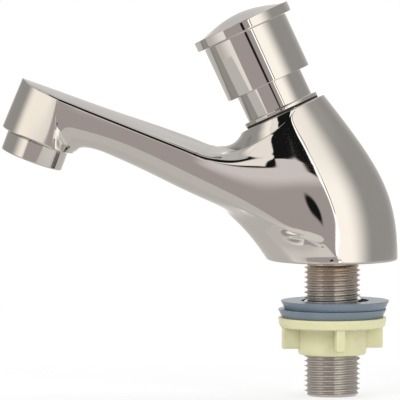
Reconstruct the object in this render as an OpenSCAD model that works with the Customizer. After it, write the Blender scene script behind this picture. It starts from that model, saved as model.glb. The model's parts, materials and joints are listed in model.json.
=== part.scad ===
// Push timed basin tap: a self-closing tap with a leaning push button and a fixed spout.
// Millimetres, +Z up. The origin is where the tail pipe's axis meets the deck, under the base.
// The spout points along -X. The tap is symmetric about the plane Y = 0.

/* [Base] */
// Diameter of the round base
base_d = 48.8; // [44:0.2:56]
// Outward lean of the wall at the front of the base, from vertical
base_flare = 33; // [20:1:40]

/* [Head] */
// Lean of the button's axis towards the spout
head_tilt = 25; // [15:1:32]
// Distance of the rim's centre in front of the tail pipe's axis
head_setback = 18.4; // [14:0.2:24]
// Height of the rim's centre above the deck
head_h = 54; // [50:0.5:64]
// Diameter of the rim that the bonnet's collar sits on
rim_d = 33.6; // [31:0.2:38]
// Inward taper of the rear wall at the rim, on top of the head's lean
rear_taper = 13.4; // [6:0.2:16]
// Reach of the rear wall's curve above the base
rear_low = 25.9; // [20:0.1:30]
// Reach of the rear wall's curve below the rim
rear_high = 32.5; // [26:0.1:36]
// Angle round the base, from the front, at which the crease starts
crease_base_a = 108; // [100:1:120]
// Angle round the rim, from the front, at which the crease ends
crease_rim_a = 116.5; // [108:0.5:125]

/* [Spout] */
// Distance of the outlet's centre in front of the tail pipe's axis
spout_reach = 108.9; // [95:0.1:130]
// Height of the outlet's face above the deck
outlet_h = 43.35; // [38:0.05:50]
// Forward lean of the nose's axis
nose_tilt = 20.4; // [14:0.2:26]
// Diameter of the nose at the outlet's face
nose_d = 29; // [27:0.2:34]
// Diameter of the nose at its top
nose_top_d = 27.4; // [26:0.2:32]
// Height of the nose along its own axis
nose_h = 19.6; // [17:0.2:24]
// Crown of the spout's top at the nose
nose_crown = 1.3; // [0.6:0.1:2.4]
// Drop from the ridge to the side edge where the spout meets the head
root_crown = 4.4; // [2.5:0.1:6]
// Diameter of the spout's waterway
waterway_d = 9; // [6:0.5:10]

/* [Button] */
// Diameter of the bonnet's neck
neck_d = 25.7; // [24:0.1:29]
// Wall of the neck
neck_wall = 2.2; // [1.6:0.1:2.6]
// How far the bonnet's collar stands out from the neck
collar_ledge = 1.85; // [1.2:0.05:2.5]
// Thickness of the collar
collar_h = 1.5; // [1:0.1:2.5]
// Thickness of the gasket under the collar
gasket_h = 0.7; // [0.4:0.1:1]
// Wall of the button's skirt
skirt_wall = 3.2; // [2:0.1:4]
// Length of the skirt below the flange
skirt_h = 21; // [18:0.5:26]
// How far the button's flange stands out from the skirt
flange_ledge = 2.5; // [1.5:0.1:4]
// Thickness of the flange
flange_h = 3.8; // [3:0.1:5]
// Rise of the domed cover above the flange
dome_h = 3.6; // [2:0.1:5]
// Travel of the button
stroke = 8; // [5:0.1:9]

/* [Cartridge] */
// Outer diameter of the valve cage
cage_d = 19.8; // [19:0.1:21]
// Wall of the valve cage
cage_wall = 1.4; // [1:0.1:1.8]
// Wall of the bonnet's screwed tail, outside the cage
tail_wall = 2; // [1.5:0.1:2.6]
// Length of the bonnet's tail below the rim
tail_h = 10; // [8:0.5:12]
// Diameter of the spindle in its bush
spindle_d = 8; // [7:0.1:8.6]
// Diameter of the spindle below the piston
stem_d = 6; // [5:0.1:6.6]
// Depth of the seat's shoulder in the casting, below the rim
seat_depth = 32; // [30:0.5:34]
// Diameter of the hole in the valve seat
seat_hole_d = 9.2; // [8.4:0.1:10]
// Diameter of the return spring's wire
wire_d = 1.6; // [1.2:0.1:1.8]
// Turns of the return spring
spring_turns = 7; // [5:1:9]

/* [Outlet] */
// Diameter of the outlet ring
ring_d = 24; // [22:0.1:26]
// Height of the outlet ring
ring_h = 7.3; // [6:0.1:9]
// Wall of the outlet ring
ring_wall = 1.15; // [0.8:0.05:1.6]
// Width of the ring's lower lip, inside its wall
ring_lip = 1.25; // [0.8:0.05:2]
// Wall of the casting's screwed nipple inside the ring
nipple_wall = 2.8; // [2:0.1:3.5]
// Diameter of one hole in the outlet's mesh
mesh_hole_d = 1.6; // [1:0.1:2]

/* [Tail pipe] */
// Outer diameter of the tail pipe's thread
thread_d = 20.955; // [18:0.005:22]
// Pitch of the thread
thread_pitch = 1.814; // [1.3:0.001:2.4]
// Depth of the thread
thread_depth = 1.16; // [0.8:0.01:1.3]
// Diameter of the tail pipe's bore below the deck
pipe_bore_d = 14; // [11:0.1:15]
// Diameter of the tail pipe's bore inside the base
pipe_top_bore_d = 12; // [9:0.1:13]
// Length of the tail pipe below the deck
shank_l = 50; // [45:0.5:70]
// Depth of the socket for the tail pipe in the base
socket_h = 8; // [6:0.1:8.4]

/* [Deck fixing] */
// Gap between the base and the upper washer
deck_gap = 14.9; // [8:0.1:18]
// Outer diameter of a deck washer at its upper face
washer_d = 40; // [36:0.5:46]
// Inward taper of a deck washer's side
washer_taper = 1.5; // [0:0.1:3]
// Room between a deck washer's hole and the thread
washer_room = 2; // [1.2:0.1:3]
// Thickness of a deck washer
washer_h = 3.1; // [2:0.1:5]
// Sideways shift of the loose upper washer
washer_shift = 1; // [0:0.1:1.1]
// How far the nut's flange stands out from the washers
nut_ledge = 0; // [0:0.1:3]
// Thickness of the nut's flange
nut_flange_h = 3.5; // [2.5:0.1:5]
// Wall of the nut's hub
nut_wall = 2; // [1.4:0.1:4]
// Height of the nut's hub below its flange
nut_hub_h = 10.2; // [9:0.1:14]
// Setback of a wing's tip from the nut's flange
wing_setback = 1.3; // [0.8:0.1:4]
// Thickness of a wing
wing_t = 3.2; // [2:0.1:5]
// Height of a wing
wing_h = 8; // [6:0.1:9]
// Turn of the nut at rest
nut_turn = 16; // [0:1:89]

/* [Fits] */
// Radial clearance of a turning or sliding fit
run_fit = 0.05; // [0.02:0.01:0.1]
// Radial clearance of a screwed or seated fit
seat_fit = 0.05; // [0.02:0.01:0.1]
// Radial clearance between the skirt and the neck
skirt_fit = 0.45; // [0.3:0.05:0.8]
// Gap left between the skirt and the collar at full travel
skirt_room = 1.8; // [1:0.1:3]
// Gap left between the neck's end and the button's web at full travel
neck_room = 1.5; // [0.8:0.1:3]
// Gap between the return spring and the neck
spring_room = 1.05; // [0.6:0.05:1.4]

/* [Hidden] */
$fn = 72;
eps = 0.01;

// Colours
chrome = [0.80, 0.79, 0.77];
steel = [0.66, 0.63, 0.60];
brass = [0.78, 0.64, 0.36];
black_rubber = [0.09, 0.09, 0.10];
fibre = [0.55, 0.24, 0.16];
white_plastic = [0.90, 0.90, 0.88];
washer_grey = [0.47, 0.53, 0.59];
nut_cream = [0.84, 0.83, 0.61];

// Frames of the head, the outlet and the base
up = [0, 0, 1];
side = [0, 1, 0];
base_r = base_d / 2;
rim_r = rim_d / 2;
rim_c = [-head_setback, 0, head_h];
head_up = [-sin(head_tilt), 0, cos(head_tilt)];
head_back = [cos(head_tilt), 0, sin(head_tilt)];
nose_r = nose_d / 2;
nose_top_r = nose_top_d / 2;
nose_c = [-spout_reach, 0, outlet_h];
nose_up = [sin(nose_tilt), 0, cos(nose_tilt)];
nose_front = [-cos(nose_tilt), 0, sin(nose_tilt)];

module at_head(h = 0) translate(rim_c) rotate([0, -head_tilt, 0]) translate([0, 0, h]) children();
module at_nose(h = 0) translate(nose_c) rotate([0, nose_tilt, 0]) translate([0, 0, h]) children();

// A ring or disc of revolution from one height to another
module tube(low, high, outer, inner = 0) translate([0, 0, low]) difference() {
    cylinder(r = outer, h = high - low);
    if (inner > 0) translate([0, 0, -1]) cylinder(r = inner, h = high - low + 2);
}

// Small helpers for points and curves
function lerp(a, b, t) = a + (b - a) * t;
function clamp01(t) = min(1, max(0, t));
function ease(t) = let (c = clamp01(t)) c * c * (3 - 2 * c);
function unit(v) = v / norm(v);
function bez(p, t) = pow(1 - t, 3) * p[0] + 3 * t * pow(1 - t, 2) * p[1]
    + 3 * t * t * (1 - t) * p[2] + pow(t, 3) * p[3];
function split(p, t) = let (a = lerp(p[0], p[1], t), b = lerp(p[1], p[2], t), c = lerp(p[2], p[3], t),
    d = lerp(a, b, t), e = lerp(b, c, t), f = lerp(d, e, t)) [[p[0], a, d, f], [f, e, c, p[3]]];

// The casting's skin is a row of ribs. Each rib runs from the lower rail (the outlet's circle, the spout's
// underside, then the base circle) up to the side edge, and from there to the upper rail (the spout's
// ridge, then the rim circle). A rib is two cubic curves: seven control points, p0 to p3 and q1 to q3.

// Rear wall: from the base circle straight up, then leaning in to the rim. The crease is its front rib.
crease_at = 0.635;
crease_low_lean = 3.2;
crease_high_lean = 7.5;
crease_low_shift = [-crease_low_lean, 0, 0];
crease_high_shift = [-crease_high_lean, 0, 0];
function base_pt(a) = base_r * [-cos(a), -sin(a), 0];
function rim_out(a) = -cos(a) * head_back - sin(a) * side;
function rim_pt(a) = rim_c + rim_r * rim_out(a);
function rear_rib(k) = let (
    a = lerp(crease_base_a, 180, k),
    ar = lerp(crease_rim_a, 180, k),
    fade = (1 - k) * (1 - k),
    wall = cos(rear_taper) * head_up - sin(rear_taper) * rim_out(ar))
    split([base_pt(a), base_pt(a) + rear_low * up + fade * crease_low_shift,
        rim_pt(ar) - rear_high * wall + fade * crease_high_shift, rim_pt(ar)], crease_at);
crease = rear_rib(0);
crease_low = crease[0];
crease_high = crease[1];

// Side edge: straight from the nose, then a cubic that levels out and ends on the crease
edge_start = nose_c + (nose_h - nose_crown) * nose_up - nose_top_r * side;
edge_end = crease_low[3];
rim_front = rim_pt(0);
base_front = base_pt(0);
ridge_start = nose_c + nose_h * nose_up + nose_top_r * nose_front;
ridge_bend_gap = 14.4;
ridge_bend_drop = 3.6;
ridge_bend = rim_front - [ridge_bend_gap, 0, ridge_bend_drop];
edge_bend_gap = 12.4;
edge_bend_x = rim_front[0] - edge_bend_gap;
edge_bend_z = ridge_bend[2] - root_crown;
edge_slope = (edge_bend_z - edge_start[2]) / (edge_bend_x - edge_start[0]);
edge_end_slope = -0.3;
function edge_half(x) = lerp(nose_top_r, -edge_end[1], (x - edge_start[0]) / (edge_end[0] - edge_start[0]));
function edge_curve_z(x) = let (run = edge_end[0] - edge_bend_x, t = (x - edge_bend_x) / run)
    bez([edge_bend_z, edge_bend_z + edge_slope * run / 3, edge_end[2] - edge_end_slope * run / 3,
        edge_end[2]], t);
function edge_z(x) = x < edge_bend_x ? edge_start[2] + edge_slope * (x - edge_start[0]) : edge_curve_z(x);
function edge_pt(x) = [x, -edge_half(x), edge_z(x)];

// Ridge: straight along the spout's top, then a hollow curve up to the front of the rim
ridge_dir = unit(ridge_bend - ridge_start);
ridge_bend_reach = 7.4;
rim_front_dir = unit([-0.5, 0, -0.87]);
rim_front_reach = 6.1;
ridge_curve = [ridge_bend, ridge_bend + ridge_bend_reach * ridge_dir,
    rim_front + rim_front_reach * rim_front_dir, rim_front];
function ridge_pt(x) = lerp(ridge_start, ridge_bend, (x - ridge_start[0]) / (ridge_bend[0] - ridge_start[0]));

// Underside: a small hollow behind the outlet, a straight run, then a bend down to the front of the base
out_rear = nose_c - nose_r * nose_front;
hollow_run = 12.3;
hollow_rise = 0.1;
bend_run = 16.6;
bend_rise = 17.9;
under_start = out_rear + [hollow_run, 0, hollow_rise];
under_bend = base_front + [-bend_run, 0, bend_rise];
under_dir = unit(under_bend - under_start);
out_rear_reach = 2.6;
under_start_reach = 7.2;
under_bend_reach = 7.8;
base_front_reach = 8;
base_front_dir = [-sin(base_flare), 0, cos(base_flare)];
hollow_share = 0.2;
straight_share = 0.7;
function under_pt(k) = k < hollow_share
    ? bez([out_rear, out_rear + out_rear_reach * nose_up, under_start - under_start_reach * under_dir,
        under_start], k / hollow_share)
    : k < straight_share
    ? lerp(under_start, under_bend, (k - hollow_share) / (straight_share - hollow_share))
    : bez([under_bend, under_bend + under_bend_reach * under_dir, base_front + base_front_reach * base_front_dir,
        base_front], (k - straight_share) / (1 - straight_share));

// Where the side edge stands beside the outlet's rear and beside the base's front
edge_rear_gap = 7.3;
edge_front_gap = 2.6;
edge_x_rear = out_rear[0] + edge_rear_gap;
edge_x_front = base_front[0] - edge_front_gap;
belly = 0.75;
panel = 0.5;
hollow = 0.45;
ridge_share = 0.64;
turn_share = 0.6;
quarter = 90;

// Control points of the crowned top between an edge point and a ridge point
function arch(e, r) = let (m = [(e[0] + r[0]) / 2, e[1] / 2, r[2]]) [lerp(e, m, 2 / 3), lerp(r, m, 2 / 3)];
function rib_of(p0, p1, p2, e, q, r) = [p0, p1, p2, e, q[0], q[1], r];

function nose_out(a) = cos(a) * nose_front - sin(a) * side;
function nose_front_rib(k) = let (
    a = quarter * k,
    p0 = nose_c + nose_r * nose_out(a),
    e = nose_c + nose_top_r * nose_out(a) + (nose_h - nose_crown * pow(sin(a), 2)) * nose_up,
    r = nose_c + nose_h * nose_up + nose_top_r * cos(a) * nose_front)
    rib_of(p0, lerp(p0, e, 1 / 3), lerp(p0, e, 2 / 3), e, arch(e, r), r);

function nose_rear_rib(k) = let (
    p0 = nose_c + nose_r * nose_out(quarter + quarter * k),
    x = lerp(edge_start[0], edge_x_rear, k),
    e = edge_pt(x),
    h = norm(e - p0),
    g = ease((k - 0.35) / 0.65),
    r = ridge_pt(x))
    rib_of(p0, p0 + unit(lerp(nose_up, -side, g)) * lerp(h / 3, belly * edge_half(x), g),
        e - nose_up * h * lerp(1 / 3, panel, ease(k)), e, arch(e, r), r);

function under_rib(k) = let (
    p0 = under_pt(k),
    x = lerp(edge_x_rear, edge_x_front, k),
    e = edge_pt(x),
    w = edge_half(x),
    r = k < ridge_share ? ridge_pt(lerp(edge_x_rear, ridge_bend[0], k / ridge_share))
        : bez(ridge_curve, (k - ridge_share) / (1 - ridge_share)),
    a = arch(e, r),
    g = ease((k - 0.5) / 0.5))
    rib_of(p0, p0 - belly * w * side, e - nose_up * panel * (e[2] - p0[2]), e,
        [lerp(a[0], e + hollow * w * side, g), lerp(a[1], r - hollow * w * side, g)], r);

// Between the base's front and the crease: the ribs turn from lying along the circles to standing up
front_rib = under_rib(1);
function base_rib(k) = let (
    a = k * crease_base_a,
    ar = k * crease_rim_a,
    s = ease(k),
    turn = quarter * ease(k / turn_share),
    p0 = base_pt(a),
    e = edge_pt(lerp(edge_x_front, edge_end[0], k)),
    r = rim_pt(ar),
    lean = base_flare * (1 - s),
    stand = unit(lerp(sin(lean) * [-cos(a), -sin(a), 0] + cos(lean) * up, unit(crease_low[1] - crease_low[0]), s)),
    hang = unit(lerp(rim_front_dir, unit(crease_high[2] - crease_high[3]), s)),
    low_reach = lerp(norm(front_rib[1] - front_rib[0]), norm(crease_low[1] - crease_low[0]), s),
    high_reach = lerp(norm(front_rib[5] - front_rib[6]), norm(crease_high[2] - crease_high[3]), s))
    rib_of(p0, p0 + low_reach * (cos(turn) * [sin(a), -cos(a), 0] + sin(turn) * stand),
        e + lerp(front_rib[2] - front_rib[3], crease_low[2] - crease_low[3], s), e,
        [e + lerp(front_rib[4] - front_rib[3], crease_high[1] - crease_high[0], s),
        r + high_reach * (cos(turn) * (sin(ar) * head_back - cos(ar) * side) + sin(turn) * hang)], r);

function back_rib(k) = let (s = rear_rib(k)) rib_of(s[0][0], s[0][1], s[0][2], s[0][3], [s[1][1], s[1][2]], s[1][3]);

// Ribs in each stretch of the skin, and steps along each of a rib's two curves
ribs_nose = 8;
ribs_nose_rear = 6;
ribs_under = 18;
ribs_base = 14;
ribs_rear = 10;
low_steps = 8;
high_steps = 6;
rib_end = low_steps + high_steps;
i_out = ribs_nose + ribs_nose_rear;
i_base = i_out + ribs_under;
i_crease = i_base + ribs_base;
i_rear = i_crease + ribs_rear;
function rib(i) = i < ribs_nose ? nose_front_rib(i / ribs_nose)
    : i < i_out ? nose_rear_rib((i - ribs_nose) / ribs_nose_rear)
    : i < i_base ? under_rib((i - i_out) / ribs_under)
    : i < i_crease ? base_rib((i - i_base) / ribs_base)
    : back_rib((i - i_crease) / ribs_rear);
function rib_points(c) = [
    for (j = [0 : low_steps]) bez([c[0], c[1], c[2], c[3]], j / low_steps),
    for (j = [1 : high_steps]) bez([c[3], c[4], c[5], c[6]], j / high_steps)];

// The near half's points, then the far half's
function mirrored(p) = [p[0], -p[1], p[2]];
near_points = [for (i = [0 : i_rear]) each rib_points(rib(i))];
half_count = len(near_points);
skin_points = concat(near_points, [for (p = near_points) mirrored(p)]);

// A point's number: points on the plane of symmetry are shared, and the nose's front rib has no top
function on_plane(i, j) = i == 0 || i == i_rear || (j == 0 && i >= i_out && i <= i_base)
    || (j == rib_end && i <= i_base);
function id(i, j, far) = let (q = i == 0 ? min(j, low_steps) : j)
    i * (rib_end + 1) + q + (far && !on_plane(i, q) ? half_count : 0);

// Faces: two triangles between neighbouring ribs, and a flat cap on the outlet, the base and the rim
function tri(a, b, c) = a == b || b == c || a == c ? [] : [[a, b, c]];
function quad(a, b, c, d, far) = far ? concat(tri(a, b, c), tri(a, c, d)) : concat(tri(a, d, c), tri(a, c, b));
function cap(first, last, j) = concat([for (i = [first : last]) id(i, j, false)],
    [for (i = [last - 1 : -1 : first + 1]) id(i, j, true)]);
function reversed(v) = [for (k = [len(v) - 1 : -1 : 0]) v[k]];
skin_faces = concat(
    [for (far = [false, true], i = [0 : i_rear - 1], j = [0 : rib_end - 1])
        each quad(id(i, j, far), id(i + 1, j, far), id(i + 1, j + 1, far), id(i, j + 1, far), far)],
    [cap(0, i_out, 0), cap(i_base, i_rear, 0), reversed(cap(i_base, i_rear, rib_end))]);

// Heights along the head's axis, from the rim: plus is up towards the button
collar_low = gasket_h;
collar_high = gasket_h + collar_h;
floor_low = 0;
floor_high = 4;
skirt_low = collar_high + stroke + skirt_room;
flange_low = skirt_low + skirt_h;
flange_high = flange_low + flange_h;
web_h = 3;
web_low = flange_low - web_h;
neck_high = web_low - stroke - neck_room;
seat_h = 1.5;
seat_spigot_h = 2;
seat_gasket_h = 1;
seat_low = seat_gasket_h - seat_depth;
cage_low = seat_low + seat_h;
cage_top_gap = 0.1;
lip_h = 0.6;
lip_w = 0.9;
valve_gap = 0.05;
valve_high = seat_low - lip_h - valve_gap;
valve_washer_h = 2;
valve_cup_h = 2;
valve_nut_h = 2.5;
valve_low = valve_high - valve_washer_h - valve_cup_h - valve_nut_h;
stem_end = 0.5;
inlet_room = 0.9;
inlet_low = valve_low - stem_end - stroke - inlet_room;
port_drop = 1;
port_h = (cage_low - tail_h) / 2 - port_drop;
port_d = 5.2;
port_count = 4;
piston_high = -1.8;
piston_h = 4;
piston_low = piston_high - piston_h;
clip_h = 0.8;
clip_w = 1.5;

// Radii of the cartridge
cage_r = cage_d / 2;
tail_r = cage_r + seat_fit + tail_wall;
cylinder_r = cage_r - cage_wall;
spindle_r = spindle_d / 2;
stem_r = stem_d / 2;
tip_step = 0.5;
tip_r = stem_r - tip_step;
neck_r = neck_d / 2;
neck_bore_r = neck_r - neck_wall;
collar_r = neck_r + collar_ledge;
skirt_r = neck_r + skirt_fit + skirt_wall;
flange_r = skirt_r + flange_ledge;
chamber_room = 1.1;
chamber_r = cage_r + chamber_room;
seat_ledge = 1.9;
inlet_r = cage_r - seat_ledge;
piston_room = 0.3;
piston_r = cylinder_r - piston_room;
seal_depth = 0.9;
seal_groove_r = piston_r - seal_depth;
seal_h = 2;
bush_wall = 1.4;
bush_r = spindle_r + bush_wall;
bush_boss_r = bush_r + bush_wall;
bush_boss_h = 5;
pin_r = 0.4;
pin_place = (bush_r + seal_groove_r) / 2;
bleed_gap = 0.2;
bleed_r = pin_r + bleed_gap;

module body_casting() color(chrome) difference() {
    union() {
        polyhedron(skin_points, skin_faces, convexity = 8);
        at_nose() tube(-nipple_h, nipple_root, nipple_r);
    }
    at_head() {
        tube(-tail_h - tail_run_out, 1, tail_r + seat_fit);
        tube(-seat_depth, -tail_h, chamber_r);
        tube(inlet_low, -seat_depth + eps, inlet_r);
    }
    socket_bores();
    waterway();
    at_nose() tube(-nipple_h - 1, outlet_depth, outlet_r);
}

// Socket for the tail pipe, and the short way up into the valve's inlet
inlet_way_r = 5.5;
inlet_foot = rim_c + (inlet_low + inlet_way_r / 2) * head_up;
module socket_bores() {
    tube(-1, socket_h, thread_r + seat_fit);
    rod_between([0, 0, socket_h - eps], inlet_foot, inlet_way_r);
}

// Waterway: from the cage's chamber forward to a knee in the spout's root, then along the spout to the nose
outlet_roof = 6.6;
outlet_depth = nose_h - outlet_roof;
outlet_turn = outlet_depth - waterway_d / 6;
nipple_root = 2;
tail_run_out = 0.5;
waterway_from = rim_c + port_h * head_up;
knee_swell = 0.5;
knee_shift = 3;
waterway_knee = lerp(ridge_bend, under_bend, 0.5) + [knee_shift, 0, 0];
waterway_to = nose_c + outlet_turn * nose_up;
module rod_between(a, b, r) {
    v = b - a;
    translate(a) rotate([0, acos(v[2] / norm(v)), atan2(v[1], v[0])]) cylinder(r = r, h = norm(v));
}
module waterway() {
    rod_between(waterway_from, waterway_knee, waterway_d / 2);
    translate(waterway_knee) sphere(r = waterway_d / 2 + knee_swell);
    rod_between(waterway_knee, waterway_to, waterway_d / 2);
}

// Tail pipe: a plain band under the base, then the thread as a row of ridges, and a chamfered end
band_h = 1.4;
end_plain = 1.2;
shank_gasket_h = 1;
shank_high = socket_h - shank_gasket_h;
thread_r = thread_d / 2;
root_r = thread_r - thread_depth;
crest_w = thread_pitch / 8;
thread_turns = floor((shank_l - band_h - end_plain) / thread_pitch);
module threaded_shank() color(steel) rotate_extrude() polygon(concat(
    [[pipe_bore_d / 2, 0], [pipe_top_bore_d / 2, 0], [pipe_top_bore_d / 2, shank_high], [thread_r, shank_high],
    [thread_r, 0], [root_r, 0], [root_r, -band_h]],
    [for (k = [0 : thread_turns - 1]) let (z = -band_h - k * thread_pitch) each [
        [thread_r, z - thread_pitch / 2 + crest_w / 2],
        [thread_r, z - thread_pitch / 2 - crest_w / 2],
        [root_r, z - thread_pitch]]],
    [[root_r, -shank_l], [pipe_bore_d / 2, -shank_l]]));

module shank_gasket() color(fibre) tube(shank_high, socket_h, thread_r - seat_fit, pipe_top_bore_d / 2);

// Bonnet: neck, collar and screwed tail, with a floor across the middle that guides the spindle
collar_bevel = 0.5;
module bonnet() color(chrome) at_head() difference() {
    rotate_extrude() polygon([
        [bush_r + seat_fit, floor_low], [cage_r + seat_fit, floor_low], [cage_r + seat_fit, -tail_h],
        [tail_r, -tail_h], [tail_r, collar_low], [collar_r, collar_low], [collar_r, collar_high - collar_bevel],
        [collar_r - collar_bevel, collar_high], [neck_r, collar_high], [neck_r, neck_high],
        [neck_bore_r, neck_high], [neck_bore_r, floor_high], [bush_r + seat_fit, floor_high]]);
    translate([pin_place, 0, floor_low - 1]) cylinder(r = pin_r + seat_fit, h = floor_high + 2);
}

module bonnet_gasket() color(black_rubber) at_head()
    tube(0, gasket_h, collar_r - collar_bevel, tail_r + seat_fit);

// Bush in the floor, with a boss that holds the spindle's seal
o_ring_w = 1.3;
o_ring_h = 1.5;
o_ring_lift = 2;
o_ring_low = floor_high + o_ring_lift;
module guide_bush() color(white_plastic) at_head() difference() {
    union() {
        tube(floor_low, floor_high + eps, bush_r);
        tube(floor_high, floor_high + bush_boss_h, bush_boss_r);
    }
    tube(floor_low - 1, floor_high + bush_boss_h + 1, spindle_r + run_fit);
    tube(o_ring_low, o_ring_low + o_ring_h, spindle_r + run_fit + o_ring_w);
}

module spindle_o_ring() color(black_rubber) at_head()
    tube(o_ring_low + run_fit, o_ring_low + o_ring_h - run_fit, spindle_r + o_ring_w, spindle_r + run_fit);

// Button: skirt, flange and a web with a boss for the spindle's end
boss_wall = 2.6;
boss_r = spindle_r + boss_wall;
boss_h = 6;
boss_low = web_low - boss_h;
spindle_reach = 1;
spindle_high = web_low + spindle_reach;
screw_r = 2;
screw_hole_r = 2.4;
screw_head_r = 4.2;
screw_head_h = 2;
recess_floor = 0.4;
recess_low = flange_low + recess_floor;
cover_edge_h = 1.2;
cover_margin = 0.6;
cover_r = flange_r - cover_margin;
cover_low = flange_high - cover_edge_h;
cover_ledge = 2.4;
cap_round = 0.5;
module push_cap() color(chrome) at_head() rotate_extrude() polygon([
    [spindle_r + seat_fit, boss_low], [boss_r, boss_low], [boss_r, web_low],
    [neck_r + skirt_fit, web_low], [neck_r + skirt_fit, skirt_low], [skirt_r, skirt_low],
    [skirt_r, flange_low], [flange_r - cap_round, flange_low], [flange_r, flange_low + cap_round],
    [flange_r, flange_high], [cover_r + seat_fit, flange_high], [cover_r + seat_fit, cover_low],
    [cover_r - cover_ledge, cover_low], [cover_r - cover_ledge, recess_low], [screw_hole_r, recess_low],
    [screw_hole_r, spindle_high + seat_fit], [spindle_r + seat_fit, spindle_high + seat_fit]]);

// Domed cover: a shallow cone at the edge that rounds into a dome
dome_points = 10;
cover_wall = 1;
function dome_z(r) = let (t = r / cover_r) dome_h * (1 - t) * (1 + 1.2 * t - 0.9 * t * t);
module cover_profile(drop) polygon(concat(
    [[0, drop], for (k = [0 : dome_points]) let (r = cover_r * k / dome_points) [r, dome_z(r)]],
    [[cover_r, drop]]));
module cap_cover() color(chrome) at_head(flange_high) difference() {
    rotate_extrude() cover_profile(-cover_edge_h);
    translate([0, 0, -cover_edge_h - eps]) cylinder(r1 = cover_r - cover_ledge, r2 = screw_head_r,
        h = cover_edge_h + dome_h / 2 - cover_wall / 2);
}

screw_low = boss_low;
module cap_screw() color(steel) at_head() difference() {
    union() {
        tube(screw_low, recess_low + eps, screw_r);
        tube(recess_low, recess_low + screw_head_h, screw_head_r);
    }
    translate([0, 0, recess_low + screw_head_h / 2]) cylinder(d = screw_head_r, h = screw_head_h, $fn = 6);
}

// Spindle: stout through the bush, thinner below the piston, with a screwed tip under the valve
module spindle() color(brass) at_head() difference() {
    rotate_extrude() polygon([[0, valve_low - stem_end], [tip_r, valve_low - stem_end], [tip_r, valve_high],
        [stem_r, valve_high], [stem_r, piston_high], [spindle_r, piston_high], [spindle_r, spindle_high],
        [0, spindle_high]]);
    tube(screw_low - 1, spindle_high + 1, screw_r + seat_fit);
}

// Return spring: one unbroken helical tube between the bonnet's floor and the button's web
spring_low = floor_high + wire_d / 2 + eps;
spring_high = web_low - wire_d / 2 - eps;
spring_r = neck_bore_r - spring_room - wire_d / 2;
spring_steps = 12;
spring_sides = 6;
spring_rings = spring_turns * spring_steps;
spring_pitch = (spring_high - spring_low) / spring_turns;
echo(str("return spring, gap between turns: ", spring_pitch - wire_d));
function spring_point(i, k) = let (
    a = 360 * i / spring_steps,
    b = 360 * k / spring_sides,
    r = spring_r + wire_d / 2 * cos(b))
    [r * cos(a), r * sin(a), spring_low + spring_pitch * i / spring_steps + wire_d / 2 * sin(b)];
spring_points = [for (i = [0 : spring_rings], k = [0 : spring_sides - 1]) spring_point(i, k)];
function spring_id(i, k) = i * spring_sides + k % spring_sides;
spring_faces = concat(
    [for (i = [0 : spring_rings - 1], k = [0 : spring_sides - 1]) each [
        [spring_id(i, k), spring_id(i, k + 1), spring_id(i + 1, k + 1)],
        [spring_id(i, k), spring_id(i + 1, k + 1), spring_id(i + 1, k)]]],
    [[for (k = [spring_sides - 1 : -1 : 0]) spring_id(0, k)],
    [for (k = [0 : spring_sides - 1]) spring_id(spring_rings, k)]]);
module return_spring() color(steel) at_head() polyhedron(spring_points, spring_faces, convexity = 10);

// Timing piston on the spindle's shoulder, with its lip seal and the clip that holds it
module timing_piston() color(white_plastic) at_head() difference() {
    tube(piston_low, piston_high, piston_r, stem_r + seat_fit);
    difference() {
        tube(piston_low + piston_h / 2 - seal_h / 2, piston_low + piston_h / 2 + seal_h / 2, piston_r + 1);
        tube(piston_low - 1, piston_high + 1, seal_groove_r);
    }
    translate([pin_place, 0, piston_low - 1]) cylinder(r = bleed_r, h = piston_h + 2);
}

module piston_lip_seal() color(black_rubber) at_head()
    tube(piston_low + piston_h / 2 - seal_h / 2 + run_fit, piston_low + piston_h / 2 + seal_h / 2 - run_fit,
        cylinder_r - run_fit, seal_groove_r + seat_fit);

module piston_clip() color(steel) at_head()
    tube(piston_low - clip_h, piston_low, stem_r + clip_w, stem_r + seat_fit);

pin_room = 1.5;
pin_low = piston_low - stroke - pin_room;
module metering_pin() color(steel) at_head() translate([pin_place, 0, 0]) tube(pin_low, floor_high, pin_r);

// Valve cage: the timing cylinder, with ports to the chamber round it
module valve_cage() color(white_plastic) at_head() difference() {
    tube(cage_low, floor_low - cage_top_gap, cage_r, cylinder_r);
    for (k = [0 : port_count - 1]) rotate([0, 0, 45 + 360 * k / port_count])
        translate([0, 0, port_h]) rotate([0, 90, 0]) cylinder(d = port_d, h = cage_d);
}

// Seat ring: a flange on the gasket, a spigot in the cage and a raised lip below
module valve_seat() color(brass) at_head() difference() {
    union() {
        tube(seat_low, cage_low, cage_r);
        tube(cage_low - eps, cage_low + seat_spigot_h, cylinder_r - seat_fit);
        tube(seat_low - lip_h, seat_low + eps, seat_hole_d / 2 + lip_w);
    }
    tube(seat_low - 2, cage_low + seat_spigot_h + 1, seat_hole_d / 2);
}

gasket_lap = 0.6;
module seat_gasket() color(fibre) at_head() tube(-seat_depth, seat_low, cage_r, inlet_r - gasket_lap);

// Moving valve under the seat: rubber washer in a cup, held by a nut on the spindle's tip
valve_lap = 1.6;
valve_washer_r = seat_hole_d / 2 + valve_lap;
cup_rim = 0.6;
valve_nut_r = 4;
module valve_washer() color(black_rubber) at_head()
    tube(valve_high - valve_washer_h, valve_high, valve_washer_r, tip_r + seat_fit);

module valve_cup() color(brass) at_head() difference() {
    tube(valve_high - valve_washer_h - valve_cup_h, valve_high - valve_washer_h / 2, valve_washer_r + cup_rim,
        tip_r + seat_fit);
    tube(valve_high - valve_washer_h, valve_high, valve_washer_r + seat_fit);
}

module valve_nut() color(brass) at_head(valve_low) difference() {
    cylinder(r = valve_nut_r, h = valve_nut_h, $fn = 6);
    translate([0, 0, -1]) cylinder(r = tip_r + seat_fit, h = valve_nut_h + 2);
}

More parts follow.
